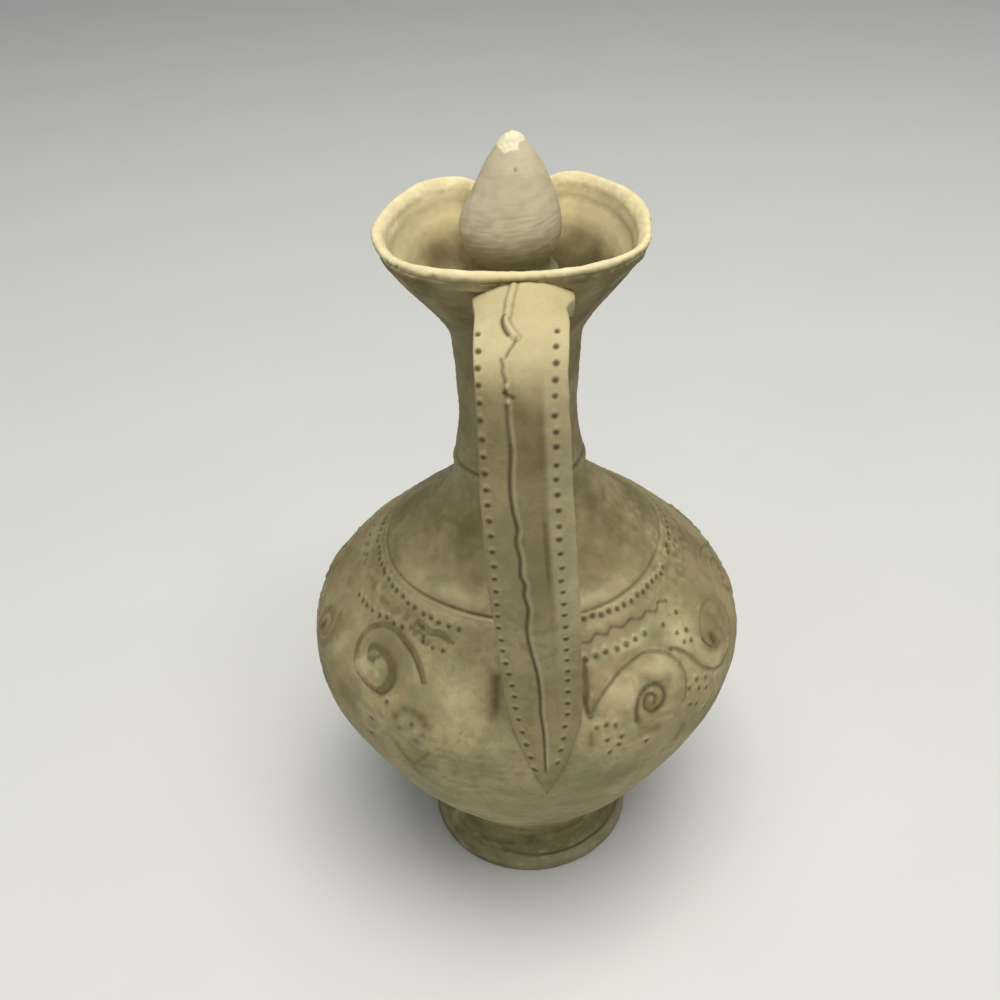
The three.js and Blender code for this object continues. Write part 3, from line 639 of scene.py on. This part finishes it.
def grooves(wall):
    """Turned grooves and rings, each a little uneven round the pot."""
    turn = np.radians(COLUMNS)
    sway = waves(np.stack([np.cos(turn), np.sin(turn), np.zeros_like(turn)], -1) * 10, 14)
    shoulder = v_at(GROOVE_Z + 0.25 * sway)[None]
    away = wall.v[:, None] - shoulder
    facing = bump(COLUMNS, 0, 48)[None]
    wall.lift -= (0.35 + 0.3 * facing) * bump(away, 0, 0.6)
    wall.lift += (0.08 + 0.22 * facing) * bump(away, -1.2, 0.6)
    worn = (0.3 + 0.5 * facing) * (0.8 + 0.2 * np.clip(sway, -1, 1)[None])
    wall.mark("dirt_and_shade", worn * bump(away, 0.1, 0.42))
    wall.mark("pale", (0.08 + 0.5 * facing**2) * bump(away, -1.15, 0.5))
    kept = 0.3 + 0.7 * smooth(COLUMNS, -28, 4)[None]
    for z, depth, width, dirt_and_shade in [(8.2, 0.5 * kept, 0.5, 0.65 * kept), (178.6, 0.5, 0.7, 0.55)]:
        away = wall.v[:, None] - v_at(z + 0.3 * sway)[None]
        wall.lift -= depth * bump(away, 0, width)
        wall.mark("dirt_and_shade", dirt_and_shade * bump(away, 0, width * 0.9))
    wall.lift += 0.5 * bump(wall.v[:, None] - v_at(176.4 + 0.3 * sway)[None], 0, 1.3)


# Chips on the lip: (angle, half width in degrees, depth in mm)
LIP_CHIPS = [
    (81, 2.4, 1), (70, 2.2, 0.8), (-52, 3.5, 0.5), (-33, 2.6, 0.35), (-66, 2.4, 0.4), (46, 3, 0.3),
    (110, 2.5, 0.5),
]
# Radius on the lip past which it faces outwards
CREST_RADIUS = 40.9


def lip_chips(points, z):
    """Depth of the chips on the lip's outer edge and of its slight roughness all round."""
    rough = np.clip(0.8 + 0.5 * waves(points, 2.5, seed=36), 0, 2)
    total = np.zeros(points.shape[:2])
    for angle, wide, depth in LIP_CHIPS:
        total += depth * bump(COLUMNS[None], angle, wide) * bump(z, 257.8, 1.2)
    return total * rough * (PROFILE[:, :1] > CREST_RADIUS - 0.8) + 0.1 * rough * bump(z, 258.6, 1.6)


def outer_stains_and_shade(points):
    """Darkening on the outside: painted shade under the flaring mouth and on the neck, partly grime, and
    brown grime on the foot.
    """
    z = outer_z[:, None]
    streaks = 1 + 0.22 * waves(points * [1, 1, 0.35], 12, seed=37)
    # Painted shade under the flaring mouth and on the neck, partly grime.
    mouth = 0.85 * smooth(z, 222, 236)
    neck = 0.36 * smooth(z, 176, 184)
    foot = (0.62 + 0.25 * waves(points * [1, 1, 3], 14, seed=38)) * smooth(z, 24, 17)
    foot *= 1 - 0.5 * smooth(COLUMNS[None], 12, 40) * (0.5 + 0.5 * smooth(z, 9, 7.5))
    foot *= 1 - 0.5 * smooth(COLUMNS[None], -38, -5) * smooth(z, 8.6, 7.6)
    return np.clip(np.maximum(np.maximum(mouth, neck) * streaks, foot), 0, 1)


def weather_and_shade_outside(wall, points):
    """Patches, grime and eaten lumps on the outside, painted shade at the body's edges and under the mouth,
    and pale specks on the foot.
    """
    ragged = np.exp(0.5 * waves(points, 7, seed=31) + 0.4 * waves(points, 3, seed=32))
    wall.mark("pale", patch(wall, PALE_PATCHES, ragged))
    wall.mark("dark", patch(wall, DARK_PATCHES_AND_EDGE_SHADE, ragged))
    wall.mark("dark", outer_stains_and_shade(points))
    eaten = patch(wall, EATEN_PATCHES, ragged**0.5)
    lumps = waves(points, 3.6, seed=41)
    wall.lift += 0.16 * eaten * lumps
    wall.mark("dark", 0.8 * eaten * np.clip(-lumps, 0, 1))
    wall.mark("pale", 0.2 * eaten * np.clip(lumps, 0, 1))
    specks = np.clip(waves(points * [1, 1, 2.5], 3.4, seed=42) - 1.4, 0, 1)
    wall.mark("pale", 0.35 * specks * smooth(outer_z[:, None], 24, 18))


def shade_and_weather_mouth(whole, points):
    """A cream lip whose top is partly a painted highlight, a paler upper inside wall as painted light, and
    painted shade down in the funnel and under the lip's outer crest, partly earth and grime.
    """
    radius, z = PROFILE[:, :1], PROFILE[:, 1:]
    # The sine term darkens one side of the funnel more than the other: painted shade.
    blotches = 1 + 0.35 * waves(points, 13, seed=33) + 0.3 * np.sin(np.radians(COLUMNS))[None]
    # Painted shade down in the funnel, partly earth.
    deep = smooth(z, 250, 240) * (z < 256) * PAST_LIP
    whole.mark("dark", np.clip(1.3 * deep * blotches, 0, 1))
    whole.mark("dirt_and_shade", 0.5 * deep**2 * np.clip(blotches, 0, 1.5))
    inner = PAST_LIP * (radius < CREST_RADIUS - 2)
    edge = 0.4 * waves(points, 5, seed=34) + 0.3 * waves(points, 16, seed=35)
    edge *= 0.4 + 0.6 * inner
    # The cream on the lip's top is partly a painted highlight; the paler upper inside wall is painted
    # light.
    cream_from = np.where(radius > CREST_RADIUS, 258.3, 256.4)
    cream = PAST_LIP * smooth(z + edge, cream_from, cream_from + 1)
    whole.mark("pale", np.clip(cream + 0.5 * inner * smooth(z, 243, 253), 0, 1))
    # Painted shade under the lip's outer crest, partly grime.
    outer_lip = PAST_LIP * (1 - inner) * smooth(z, 258.5, 257.6)
    whole.mark("dark", np.clip(0.75 * outer_lip * blotches, 0, 1))


# Darker where the surface lies below the average of its neighbours.
def darken_hollows(surface):
    deep = np.clip(hollow(surface.lift, 3), 0, 0.4)
    surface.marks["dirt_and_shade"] = np.clip(surface.marks["dirt_and_shade"] + 1.2 * deep, 0, 1)


def make_body():
    points = body_points()
    wall = Surface(COLUMNS, row_v, np.radians(1) * outer_r)
    ornament(wall)
    grooves(wall)
    weather_and_shade_outside(wall, points[OUTSIDE])
    whole = Surface(COLUMNS, PROFILE[:, 1])
    whole.lift += 0.16 * waves(points, 38, seed=3) + 0.06 * waves(points, 11, seed=4)
    whole.lift += 0.03 * waves(points, 4, seed=5)
    whole.lift += 0.05 * np.sin(PROFILE[:, 1:] * 2.1 + 0.8 * waves(points * [1, 1, 3], 60, seed=6))
    whole.lift[OUTSIDE] += wall.lift
    for name in MARKS:
        whole.marks[name][OUTSIDE] = wall.marks[name]
    shade_and_weather_mouth(whole, points)
    whole.lift -= lip_chips(points, PROFILE[:, 1:])
    under = PROFILE[:, 1] < 1.0
    whole.lift[under] = np.minimum(whole.lift[under], 0)
    points = displaced(points, whole.lift)
    points[..., 2] = np.maximum(points[..., 2], 0)
    darken_hollows(whole)
    return grid_object("jug_body", points, whole.marks, BODY_TRIANGLES)


# Handle: outer face in the side view as (distance behind the axis, height), from root to tail

HANDLE_FACE = [
    (33, 256.6), (38, 257.1), (42, 256.8), (47, 255.5), (52, 254.7), (57, 253.9), (63, 251.4),
    (68.3, 246.8), (71.6, 241), (73.6, 234), (75.4, 225), (76.8, 212), (77.8, 197), (78, 182), (77.4, 166),
    (76.4, 150), (75.9, 138), (76.4, 126), (78.6, 115), (80.2, 106), (79.3, 98), (76.4, 91.5),
]
HANDLE_THICKNESS = 7.2
# How deep in the mouth's wall the root ends
ROOT_DEPTH = 1.9
LEFT_EDGE = [
    (254, -12.4), (250, -12.7), (236, -12.7), (211, -12.9), (196, -12.6), (180, -12), (161, -10.5),
    (134, -8.8), (124, -7), (116, -4.7), (107, -1.4), (99, 1.6), (91, 3),
]
RIGHT_EDGE = [
    (254, 12.4), (250, 11.8), (246, 11.3), (235, 11.3), (225, 11.6), (206, 12.3), (184, 13.2), (167, 14.3),
    (141, 14.9), (132, 15.2), (124, 14.4), (116, 11.8), (108, 8.9), (99, 5.8), (91, 4.2),
]
LEFT_BEADS = [
    (253, -11.2), (246, -11.7), (239, -11.7), (225, -11.5), (205, -10.7), (188, -10), (166, -9.7),
    (150, -8), (140, -6.2), (130, -5.5), (118, -3.1), (107, -0.2),
]
RIGHT_BEADS = [
    (253, 9.2), (246, 8), (241, 7.6), (214, 7.7), (200, 8), (187, 8.7), (170, 9.3), (151, 10.2),
    (140, 10.6), (128, 10), (119, 8.9), (112, 7.3), (107, 5.6),
]
# The trail's ridge over the bend, the pits beside it and its turn: (distance from the root, sideways)
TRAIL_ON_TOP = [
    (4.8, -1.25), (9.3, -1.65), (13.4, -2.6), (16.5, -3), (20.4, -3.6), (23.6, -4), (26.7, -3.1),
    (29.5, -1.6),
]
TRAIL_SPLIT = [(20.5, -4.5), (23.8, -5), (26.7, -4.5), (28.6, -3.6)]
TRAIL_TURN = [(29.5, -1.5), (31.4, -2.3), (33.3, -3.6), (35.2, -4.6)]
TRAIL_PIT = [(44.3, -5.4), (44.8, -4.3), (45.6, -3.2)]
TRAIL_BLOBS = [(5.4, -1.2), (16.4, -3), (22.6, -4.2), (42.6, -4.7), (46.6, -4.6)]
TRAIL = [
    (248.6, -5.8), (247.3, -5.5), (245.7, -5.6), (244.1, -5.1), (242.7, -5.2), (238, -5), (233, -4.9),
    (226, -4.4), (217, -4.9), (208, -4.4), (202, -3.4), (198, -3.9), (192, -2.9), (186, -2.9), (183, -1.8),
    (179, -2.1), (174, -1.1), (165, -1.6), (157, -0.7), (151, 0.4), (146, 1.2), (136, 1.9), (129, 2),
    (118, 2.9), (107, 3.1),
]
# Below this height the trail's line is dark with earth
DARK_TRAIL_FROM = 228
# Columns of points across the outer face, and about half the strap's width
FACE_COLUMNS = 62
MM_PER_SHARE = 12


def section():
    """Points round the strap's section as (share of the half width, share of the thickness), face first."""
    face = np.linspace(-0.985, 0.985, FACE_COLUMNS)
    edge = [(1.0, -0.05), (1.0, -0.25), (0.99, -0.5), (0.96, -0.8), (0.88, -0.97)]
    back = [(share, -1.0) for share in np.linspace(0.75, -0.75, 12)]
    other = [(-share, depth) for share, depth in edge[::-1]]
    return np.asarray([(share, 0) for share in face] + edge + back + other)


def root_in_wall(points):
    """The strap's root ends inside the wall of the mouth: no point lies further in than ROOT_DEPTH."""
    x, y, z = np.moveaxis(points, -1, 0)
    offset = rim_offset(np.degrees(np.arctan2(x, -y)))
    inner = np.interp(z, outer_z, outer_r) + smooth(z, FLARE_FROM, FLARE_TO) * offset - ROOT_DEPTH
    limit = -np.sqrt(np.maximum(inner**2 - x**2, 0))
    near_mouth = z > 235
    y = np.where(near_mouth & (y > limit), limit, y)
    y[0] = np.where(near_mouth[0], limit[0], y[0])
    return np.stack([x, y, z], -1)


def weather_and_light_strap(strap, height):
    """Brown and pale bands, a drip and the stained tail on the handle's outer face; the pale over the
    bend's top is partly painted light.
    """
    share, drop = strap.c[None], height[:, None]
    middle_band = smooth(share, -0.4, -0.2) * (1 - smooth(share, 0.36, 0.5))
    brown = smooth(248 - 6 * smooth(share, -0.3, 0.25) - drop, 0, 9)
    brown *= 0.25 + 0.75 * smooth(drop, 208, 226)
    strap.mark("dark", (0.55 + 0.3 * middle_band) * brown)
    strap.mark("dark", 0.4 * middle_band * smooth(drop, 226, 214) * smooth(drop, 150, 180))
    strap.mark("dark", 0.5 * smooth(drop, 156, 138))
    strap.mark("dark", 0.95 * smooth(drop, 99, 96) * bump(share, 0, 0.7))
    strap.mark("dark", bump(share, 0.35, 0.08) * smooth(drop, 207, 203) * smooth(drop, 170, 190))
    # Paler over the bend's top: partly the clay's tone, partly painted light on the top.
    strap.mark("pale", 0.3 * smooth(drop, 240, 250))
    strap.mark("pale", 0.22 * smooth(share, 0.4, 0.52) * smooth(drop, 150, 175))
    strap.lift += 0.3 * smooth(share, 0.3, 0.42) * smooth(drop, 240, 225)


def make_handle():
    face = smooth_path(HANDLE_FACE, 0.42)
    reach, z = face.T
    along = np.concatenate([[0], np.cumsum(np.hypot(np.diff(reach), np.diff(z)))])
    bend = along[np.argmax((reach > 50) & (z < 254))]
    order = slice(np.searchsorted(along, bend), None)

    def along_at(height):
        return np.interp(-np.asarray(height, float), -z[order], along[order])

    def across(edge):
        edge = np.asarray(edge, float)
        return np.interp(along, along_at(edge[:, 0]), edge[:, 1])

    left, right = across(LEFT_EDGE), across(RIGHT_EDGE)
    root = 1 - smooth(along, 6, 26)
    flare = 1 - smooth(along, 7, 15)
    left, right = left - 0.4 * flare, right + 2.9 * flare
    middle, half = (left + right) / 2, (right - left) / 2
    shares, depths = section().T
    ahead = np.gradient(face, axis=0)
    ahead /= np.linalg.norm(ahead, axis=1, keepdims=True)
    outward = np.column_stack([-ahead[:, 1], ahead[:, 0]])
    crown = (1.1 + 4.2 * root)[:, None] * np.abs(shares[None]) ** 2.0
    tail = smooth(along[-1] - along, -6, 26)[:, None]
    depth = depths[None] * HANDLE_THICKNESS * (0.55 + 0.45 * tail) - crown * (0.5 + 0.5 * tail)
    x = middle[:, None] + shares[None] * half[:, None]
    behind = reach[:, None] + depth * outward[:, :1]
    height = z[:, None] + depth * outward[:, 1:]
    points = np.stack([x, -behind, height], -1)

    strap = Surface(shares[:FACE_COLUMNS], along, half)

    def as_given(spots):
        return spots

    def shares_at(spots, sideways):
        share = (sideways - np.interp(spots, along, middle)) / np.interp(spots, along, half)
        return np.column_stack([share, spots])

    def on_strap(places, at):
        places = np.asarray(places, float)
        return shares_at(at(places[:, 0]), places[:, 1])

    def row(places, pitch):
        places = np.asarray(places, float)
        at = along_at(places[:, 0])
        spots = np.arange(at[0], at[-1], pitch)
        spots = spots + rng.normal(0, 0.25, len(spots))
        return shares_at(spots, np.interp(spots, at, places[:, 1]) + rng.normal(0, 0.12, len(spots)))

    places = np.vstack([row(LEFT_BEADS, 4.9), row(RIGHT_BEADS, 4.65)])
    strap.beads(places, rng.uniform(1.0, 1.25, len(places)), -BELOW, 0.25, 0.12)

    def strap_path(places, spacing, at):
        return smooth_path(on_strap(places, at) * [MM_PER_SHARE, 1], spacing) / [MM_PER_SHARE, 1]

    def strap_line(places, half):
        return line(strap_path(places, 0.6, as_given), half)

    # The pale on the ridge's crest is a painted highlight, and the dark along its flanks is painted shade,
    # partly dirt in the creases.
    ridge = strap.near(strap_line(TRAIL_ON_TOP, 1.05))
    strap.lift += 0.5 * np.clip(1 - ridge**2, 0, 1) ** 1.2 - 0.1 * bump(ridge, 1.2, 0.35)
    strap.mark("dirt_and_shade", 0.3 * bump(ridge, 1.15, 0.35))
    strap.mark("pale", 0.4 * bump(ridge, 0, 0.5))
    strap.cut(strap_line(TRAIL_SPLIT, 0.65), 0.4, 0.8)
    strap.cut(strap_line(TRAIL_TURN, 0.6), 0.3, 0.55)
    strap.cut(strap_line(TRAIL_PIT, 0.7), 0.4, 0.85)
    # The pale on the blobs is a painted highlight.
    blobs = strap.near(dots(on_strap(TRAIL_BLOBS, as_given), 1.15))
    strap.lift += 0.5 * np.clip(1 - blobs**2, 0, 1)
    strap.mark("pale", 0.7 * bump(blobs, 0, 0.6))
    path = strap_path(TRAIL, 0.7, along_at)
    upper = int(np.searchsorted(path[:, 1], along_at(DARK_TRAIL_FROM)))
    strap.cut(line(path[: upper + 1], 0.62), 0.3, 0.5)
    strap.cut(line(path[upper:], 0.62), 0.35, 0.8)
    # The pale along the low ridge beside the trail is a painted highlight on its lit edge.
    beside = strap.near(line(path + [1.15 / MM_PER_SHARE, 0], 0.8))
    strap.lift += 0.3 * np.clip(1 - beside**2, 0, 1)
    strap.mark("pale", 0.2 * bump(beside, 0, 0.7))
    weather_and_light_strap(strap, z)

    whole = Surface(shares, along)
    whole.lift += 0.12 * waves(points, 26, seed=13) + 0.05 * waves(points, 8, seed=14)
    whole.lift += 0.02 * waves(points, 3, seed=15)
    whole.lift[:, :FACE_COLUMNS] += strap.lift
    for name, layer in strap.marks.items():
        whole.marks[name][:, :FACE_COLUMNS] = layer
    edge = strap.marks["dark"][:, -4:]
    whole.marks["dark"][:, FACE_COLUMNS:] = np.mean(edge, axis=1, keepdims=True)
    points = root_in_wall(displaced(points, -whole.lift))
    darken_hollows(whole)
    return grid_object("jug_handle", points, whole.marks, HANDLE_TRIANGLES)


# Stopper: side view as (radius, height) of the bung and of the knob that stands in it

BUNG = [
    (0.5, 223), (11, 223), (13.2, 223.7), (13.6, 228), (13.8, 238), (13.8, 243), (13.4, 244.2),
    (12.6, 244.7), (11.6, 245.4), (11.2, 248.4),
]
KNOB = [
    (11.2, 248.4), (12.4, 249.6), (13.8, 251.4), (15, 254.6), (15.4, 257.8), (15, 260.8), (13.7, 264.8),
    (11.8, 269.2), (9.8, 273.6), (8.2, 276.6), (6, 280.2), (4, 283), (2.8, 284.5), (1.2, 285.3),
    (0.3, 285.5),
]
# Sideways shift of the knob at its widest and near its tip
KNOB_LEAN = (-0.8, 0.6)


def make_stopper():
    knob = smooth_path(KNOB, 0.34)
    profile = np.vstack([smooth_path(BUNG, 0.7)[:-1], knob])
    angle = np.radians(np.arange(0, 360, 1.5))[None]
    radius, z = profile[:, :1], profile[:, 1:]
    lean = np.interp(smooth(z, 256, 276), [0, 1], KNOB_LEAN) * smooth(z, 240, 250)
    level = np.broadcast_to(z, (len(z), angle.size))
    points = np.stack([radius * np.sin(angle) + lean, -radius * np.cos(angle), level], -1)
    lift = 0.1 * waves(points, 18, seed=21) + 0.04 * waves(points, 5, seed=22)
    lines = waves(points * [0.25, 0.25, 1], 1.3, count=40, seed=23)
    low_half = 1 - smooth(z, 262, 268)
    lift += 0.022 * lines * (z > 246) * (0.35 + 0.65 * low_half)
    view_side = np.cos(angle - math.radians(-30))
    broken = smooth(z + 2.2 * view_side + 0.4 * waves(points, 3.5, seed=24), 283.2, 283.8)
    lift += broken * (0.05 * waves(points, 1.8, seed=25) - 0.25)
    inner = smooth(radius, 0.2, 1.5)
    pit = np.exp(-(((angle - math.radians(2)) * radius / 0.5) ** 2 + ((z - 276.8) / 0.5) ** 2))
    # The dark band at the knob's foot, where it meets the bung, is painted shadow.
    dirt_and_shade = np.maximum(0.4 * bump(z, 246.4, 1.3) + 0.12 * np.clip(-lines, 0, 1) * low_half, 0.9 * pit)
    on_bung = (np.arange(len(profile)) < len(profile) - len(knob))[:, None]
    dirt_and_shade = np.maximum(dirt_and_shade, 0.7 * on_bung)
    dark = np.broadcast_to(np.maximum(0.35 * smooth(z, 257, 248), on_bung), lift.shape)
    points = displaced(points, (lift - 0.25 * pit) * inner)
    points[..., 2] = np.clip(points[..., 2], 223, STOPPER_TOP_Z)
    marks = {"dirt_and_shade": np.clip(dirt_and_shade, 0, 1), "pale": broken, "dark": dark}
    return grid_object("stopper_knob", points, marks)


# Materials

class Nodes:
    """Short forms for building a material's node tree."""

    def __init__(self, name):
        self.material = bpy.data.materials.new(name)
        self.material.use_nodes = True
        self.tree = self.material.node_tree
        self.shader = self.tree.nodes["Principled BSDF"]

    def add(self, kind, inputs, **settings):
        node = self.tree.nodes.new(kind)
        for key, value in settings.items():
            setattr(node, key, value)
        self.connect(node, inputs)
        return node

    def connect(self, node, inputs):
        for key, value in inputs.items():
            if isinstance(value, bpy.types.NodeSocket):
                self.tree.links.new(value, node.inputs[key])
            else:
                node.inputs[key].default_value = value

    def surface(self, **inputs):
        """The material, with these values at its shader; underscores stand for spaces."""
        self.connect(self.shader, {key.replace("_", " "): value for key, value in inputs.items()})
        return self.material

    def position(self):
        return self.add("ShaderNodeTexCoord", {}).outputs["Object"]

    def mark(self, name):
        return self.add("ShaderNodeAttribute", {}, attribute_name=name).outputs["Fac"]

    def noise(self, vector, size, detail=4.0, rough=0.55, warp=0.0):
        """Noise from 0 to 1 with features of about that size in mm."""
        node = self.add("ShaderNodeTexNoise", {
            "Vector": vector, "Scale": 1 / (size * MM), "Detail": detail, "Roughness": rough,
            "Distortion": warp,
        })
        return node.outputs["Fac"]

    def step(self, value, low, high, to_low=0.0, to_high=1.0):
        node = self.add("ShaderNodeMapRange", {
            "Value": value, "From Min": low, "From Max": high, "To Min": to_low, "To Max": to_high,
        }, interpolation_type="SMOOTHSTEP")
        return node.outputs["Result"]

    def times(self, a, b):
        node = self.add("ShaderNodeMath", {0: a, 1: b}, operation="MULTIPLY", use_clamp=True)
        return node.outputs[0]

    def mix(self, amount, a, b):
        a, b = (end if isinstance(end, bpy.types.NodeSocket) else (*end, 1) for end in (a, b))
        node = self.add("ShaderNodeMix", {"Factor": amount, "A": a, "B": b}, data_type="RGBA")
        return node.outputs["Result"]

    def bump(self, height, strength, distance, below=None):
        """A normal that follows height; distance is in mm, and below is the coarser bump under it."""
        inputs = {"Height": height, "Strength": strength, "Distance": distance * MM}
        if below:
            inputs["Normal"] = below
        return self.add("ShaderNodeBump", inputs).outputs["Normal"]

    def stretched(self, vector, x, y, z):
        return self.add("ShaderNodeMapping", {"Vector": vector, "Scale": (x, y, z)}).outputs["Vector"]


CREAM = (0.84, 0.74, 0.445)
LIGHT_BUFF = (0.50, 0.42, 0.218)
BUFF = (0.365, 0.305, 0.165)
OLIVE = (0.225, 0.207, 0.102)
OLIVE_BROWN = (0.162, 0.124, 0.05)
RUST = (0.31, 0.225, 0.112)
GREY_BUFF = (0.40, 0.385, 0.27)
DARK_EARTH_AND_SHADE = (0.085, 0.064, 0.026)


def jug_clay():
    n = Nodes("jug_clay")
    place = n.position()
    height = n.add("ShaderNodeSeparateXYZ", {"Vector": place}).outputs["Z"]
    broad = n.noise(place, 48, 3, 0.5, 0.6)
    cloudy = n.noise(place, 17, 4, 0.55, 0.4)
    mottle = n.noise(place, 5.5, 5, 0.62, 0.3)
    blotch = n.noise(place, 10, 4, 0.65, 0.8)
    fine = n.noise(place, 1.7, 3, 0.6)
    grain = n.noise(place, 0.45, 2, 0.7)
    colour = BUFF
    for noise, low, high, at_low, at_high, other in (
        (broad, 0.38, 0.62, 0, 0.45, RUST), (broad, 0.55, 0.40, 0, 0.30, LIGHT_BUFF),
        (cloudy, 0.45, 0.66, 0, 0.65, OLIVE), (blotch, 0.52, 0.62, 0, 0.5, OLIVE),
        (mottle, 0.52, 0.66, 0, 0.6, RUST), (mottle, 0.30, 0.46, 0.6, 0, OLIVE),
    ):
        colour = n.mix(n.step(noise, low, high, at_low, at_high), colour, other)
    # Paler towards the rim of the mouth: partly the clay's tone, partly painted light on the top.
    colour = n.mix(n.times(n.step(height, 236 * MM, 252 * MM), 0.7), colour, LIGHT_BUFF)
    foot = n.step(height, 6.0 * MM, 7.6 * MM, 1.0, 0)
    colour = n.mix(n.times(foot, n.step(mottle, 0.42, 0.6, 0.3, 0.8)), colour, GREY_BUFF)
    dark = n.times(n.mark("dark"), n.step(mottle, 0.3, 0.6, 0.7, 1.0))
    colour = n.mix(dark, colour, OLIVE_BROWN)
    colour = n.mix(n.step(fine, 0.60, 0.72, 0, 0.28), colour, OLIVE_BROWN)
    pale = n.times(n.mark("pale"), n.step(mottle, 0.35, 0.6, 1.0, 0.75))
    colour = n.mix(pale, colour, CREAM)
    # The dirt_and_shade layer darkens to earth brown: dirt in grooves, and painted shade under beads,
    # trails and the knob.
    dirt_and_shade = n.times(n.mark("dirt_and_shade"), n.step(fine, 0.25, 0.5, 0.75, 1.0))
    colour = n.mix(dirt_and_shade, colour, DARK_EARTH_AND_SHADE)
    medium = n.bump(fine, 0.4, 0.2, n.bump(mottle, 0.35, 0.5))
    return n.surface(
        Base_Color=colour, Roughness=n.step(mottle, 0.3, 0.7, 0.66, 0.84),
        Specular_IOR_Level=0.3, Normal=n.bump(grain, 0.25, 0.08, medium),
    )


def stopper_clay():
    n = Nodes("stopper_clay")
    place = n.position()
    mottle = n.noise(place, 8, 4, 0.6)
    turned = n.noise(n.stretched(place, 0.10, 0.10, 1.6), 1.1, 3, 0.6)
    fine = n.noise(place, 0.9, 3, 0.6)
    colour = n.mix(n.step(mottle, 0.35, 0.68), (0.61, 0.535, 0.37), (0.53, 0.465, 0.315))
    colour = n.mix(n.step(turned, 0.55, 0.75, 0, 0.18), colour, (0.40, 0.345, 0.215))
    colour = n.mix(n.mark("dark"), colour, (0.44, 0.41, 0.255))
    colour = n.mix(n.mark("pale"), colour, (0.82, 0.75, 0.52))
    colour = n.mix(n.times(n.mark("dirt_and_shade"), 0.8), colour, (0.15, 0.12, 0.06))
    return n.surface(
        Base_Color=colour, Roughness=n.step(fine, 0.3, 0.7, 0.72, 0.9),
        Specular_IOR_Level=0.25, Normal=n.bump(fine, 0.3, 0.1, n.bump(turned, 0.3, 0.15)),
    )


def floor_finish():
    n = Nodes("pale_floor")
    shade = n.noise(n.position(), 90, 3, 0.5)
    return n.surface(Base_Color=n.mix(shade, (0.72, 0.725, 0.715), (0.76, 0.765, 0.755)), Roughness=0.7)


# Camera at the photograph's viewing angle
IMAGE_SIZE = 1000
FOCAL_PIXELS = 1091.05
CAMERA_PLACE = (-7.575, -312.29, 380.71)
CAMERA_PITCH = math.radians(35.626)
CAMERA_ROLL = math.radians(-2.579)


def make_camera():
    data = bpy.data.cameras.new("camera")
    data.sensor_width = 36
    data.lens = data.sensor_width * FOCAL_PIXELS / IMAGE_SIZE
    data.clip_start = 0.01
    camera = linked("camera", data)
    turn = Matrix.Rotation(math.pi / 2 - CAMERA_PITCH, 4, "X") @ Matrix.Rotation(CAMERA_ROLL, 4, "Z")
    camera.matrix_world = Matrix.Translation(Vector(CAMERA_PLACE) * MM) @ turn
    bpy.context.scene.camera = camera


def area_light(name, place, size, watts, colour=(1, 1, 1)):
    """A soft square lamp that faces the middle of the jug."""
    data = bpy.data.lights.new(name, "AREA")
    data.size = size
    data.energy = watts
    data.color = colour
    lamp = linked(name, data)
    lamp.location = place
    aim = Vector((0, 0, RIM_Z / 2 * MM)) - Vector(place)
    lamp.rotation_euler = aim.to_track_quat("-Z", "Y").to_euler()


def make_studio():
    half = 6.0
    corners = [(-half, -half, 0), (half, -half, 0), (half, half, 0), (-half, half, 0)]
    mesh = bpy.data.meshes.new("floor")
    mesh.from_pydata(corners, [], [(0, 1, 2, 3)])
    floor = linked("floor", mesh)
    floor.data.materials.append(floor_finish())
    world = bpy.data.worlds.new("studio")
    world.use_nodes = True
    world.node_tree.nodes["Background"].inputs["Color"].default_value = (0.92, 0.97, 1.0, 1)
    world.node_tree.nodes["Background"].inputs["Strength"].default_value = 0.24
    bpy.context.scene.world = world
    area_light("key", (0.16, -0.40, 1.9), 1.3, 36, (1.0, 0.97, 0.90))
    area_light("fill", (-1.2, -1.6, 1.2), 1.2, 1.5, (0.96, 0.98, 1.0))


bpy.context.scene.view_settings.view_transform = "Standard"
make_camera()
make_studio()
clay = jug_clay()
for piece in (make_body(), make_handle()):
    piece.data.materials.append(clay)
    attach(piece, "root")
    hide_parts("jug")
stopper = make_stopper()
stopper.data.materials.append(stopper_clay())
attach(stopper, "root")
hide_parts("stopper")
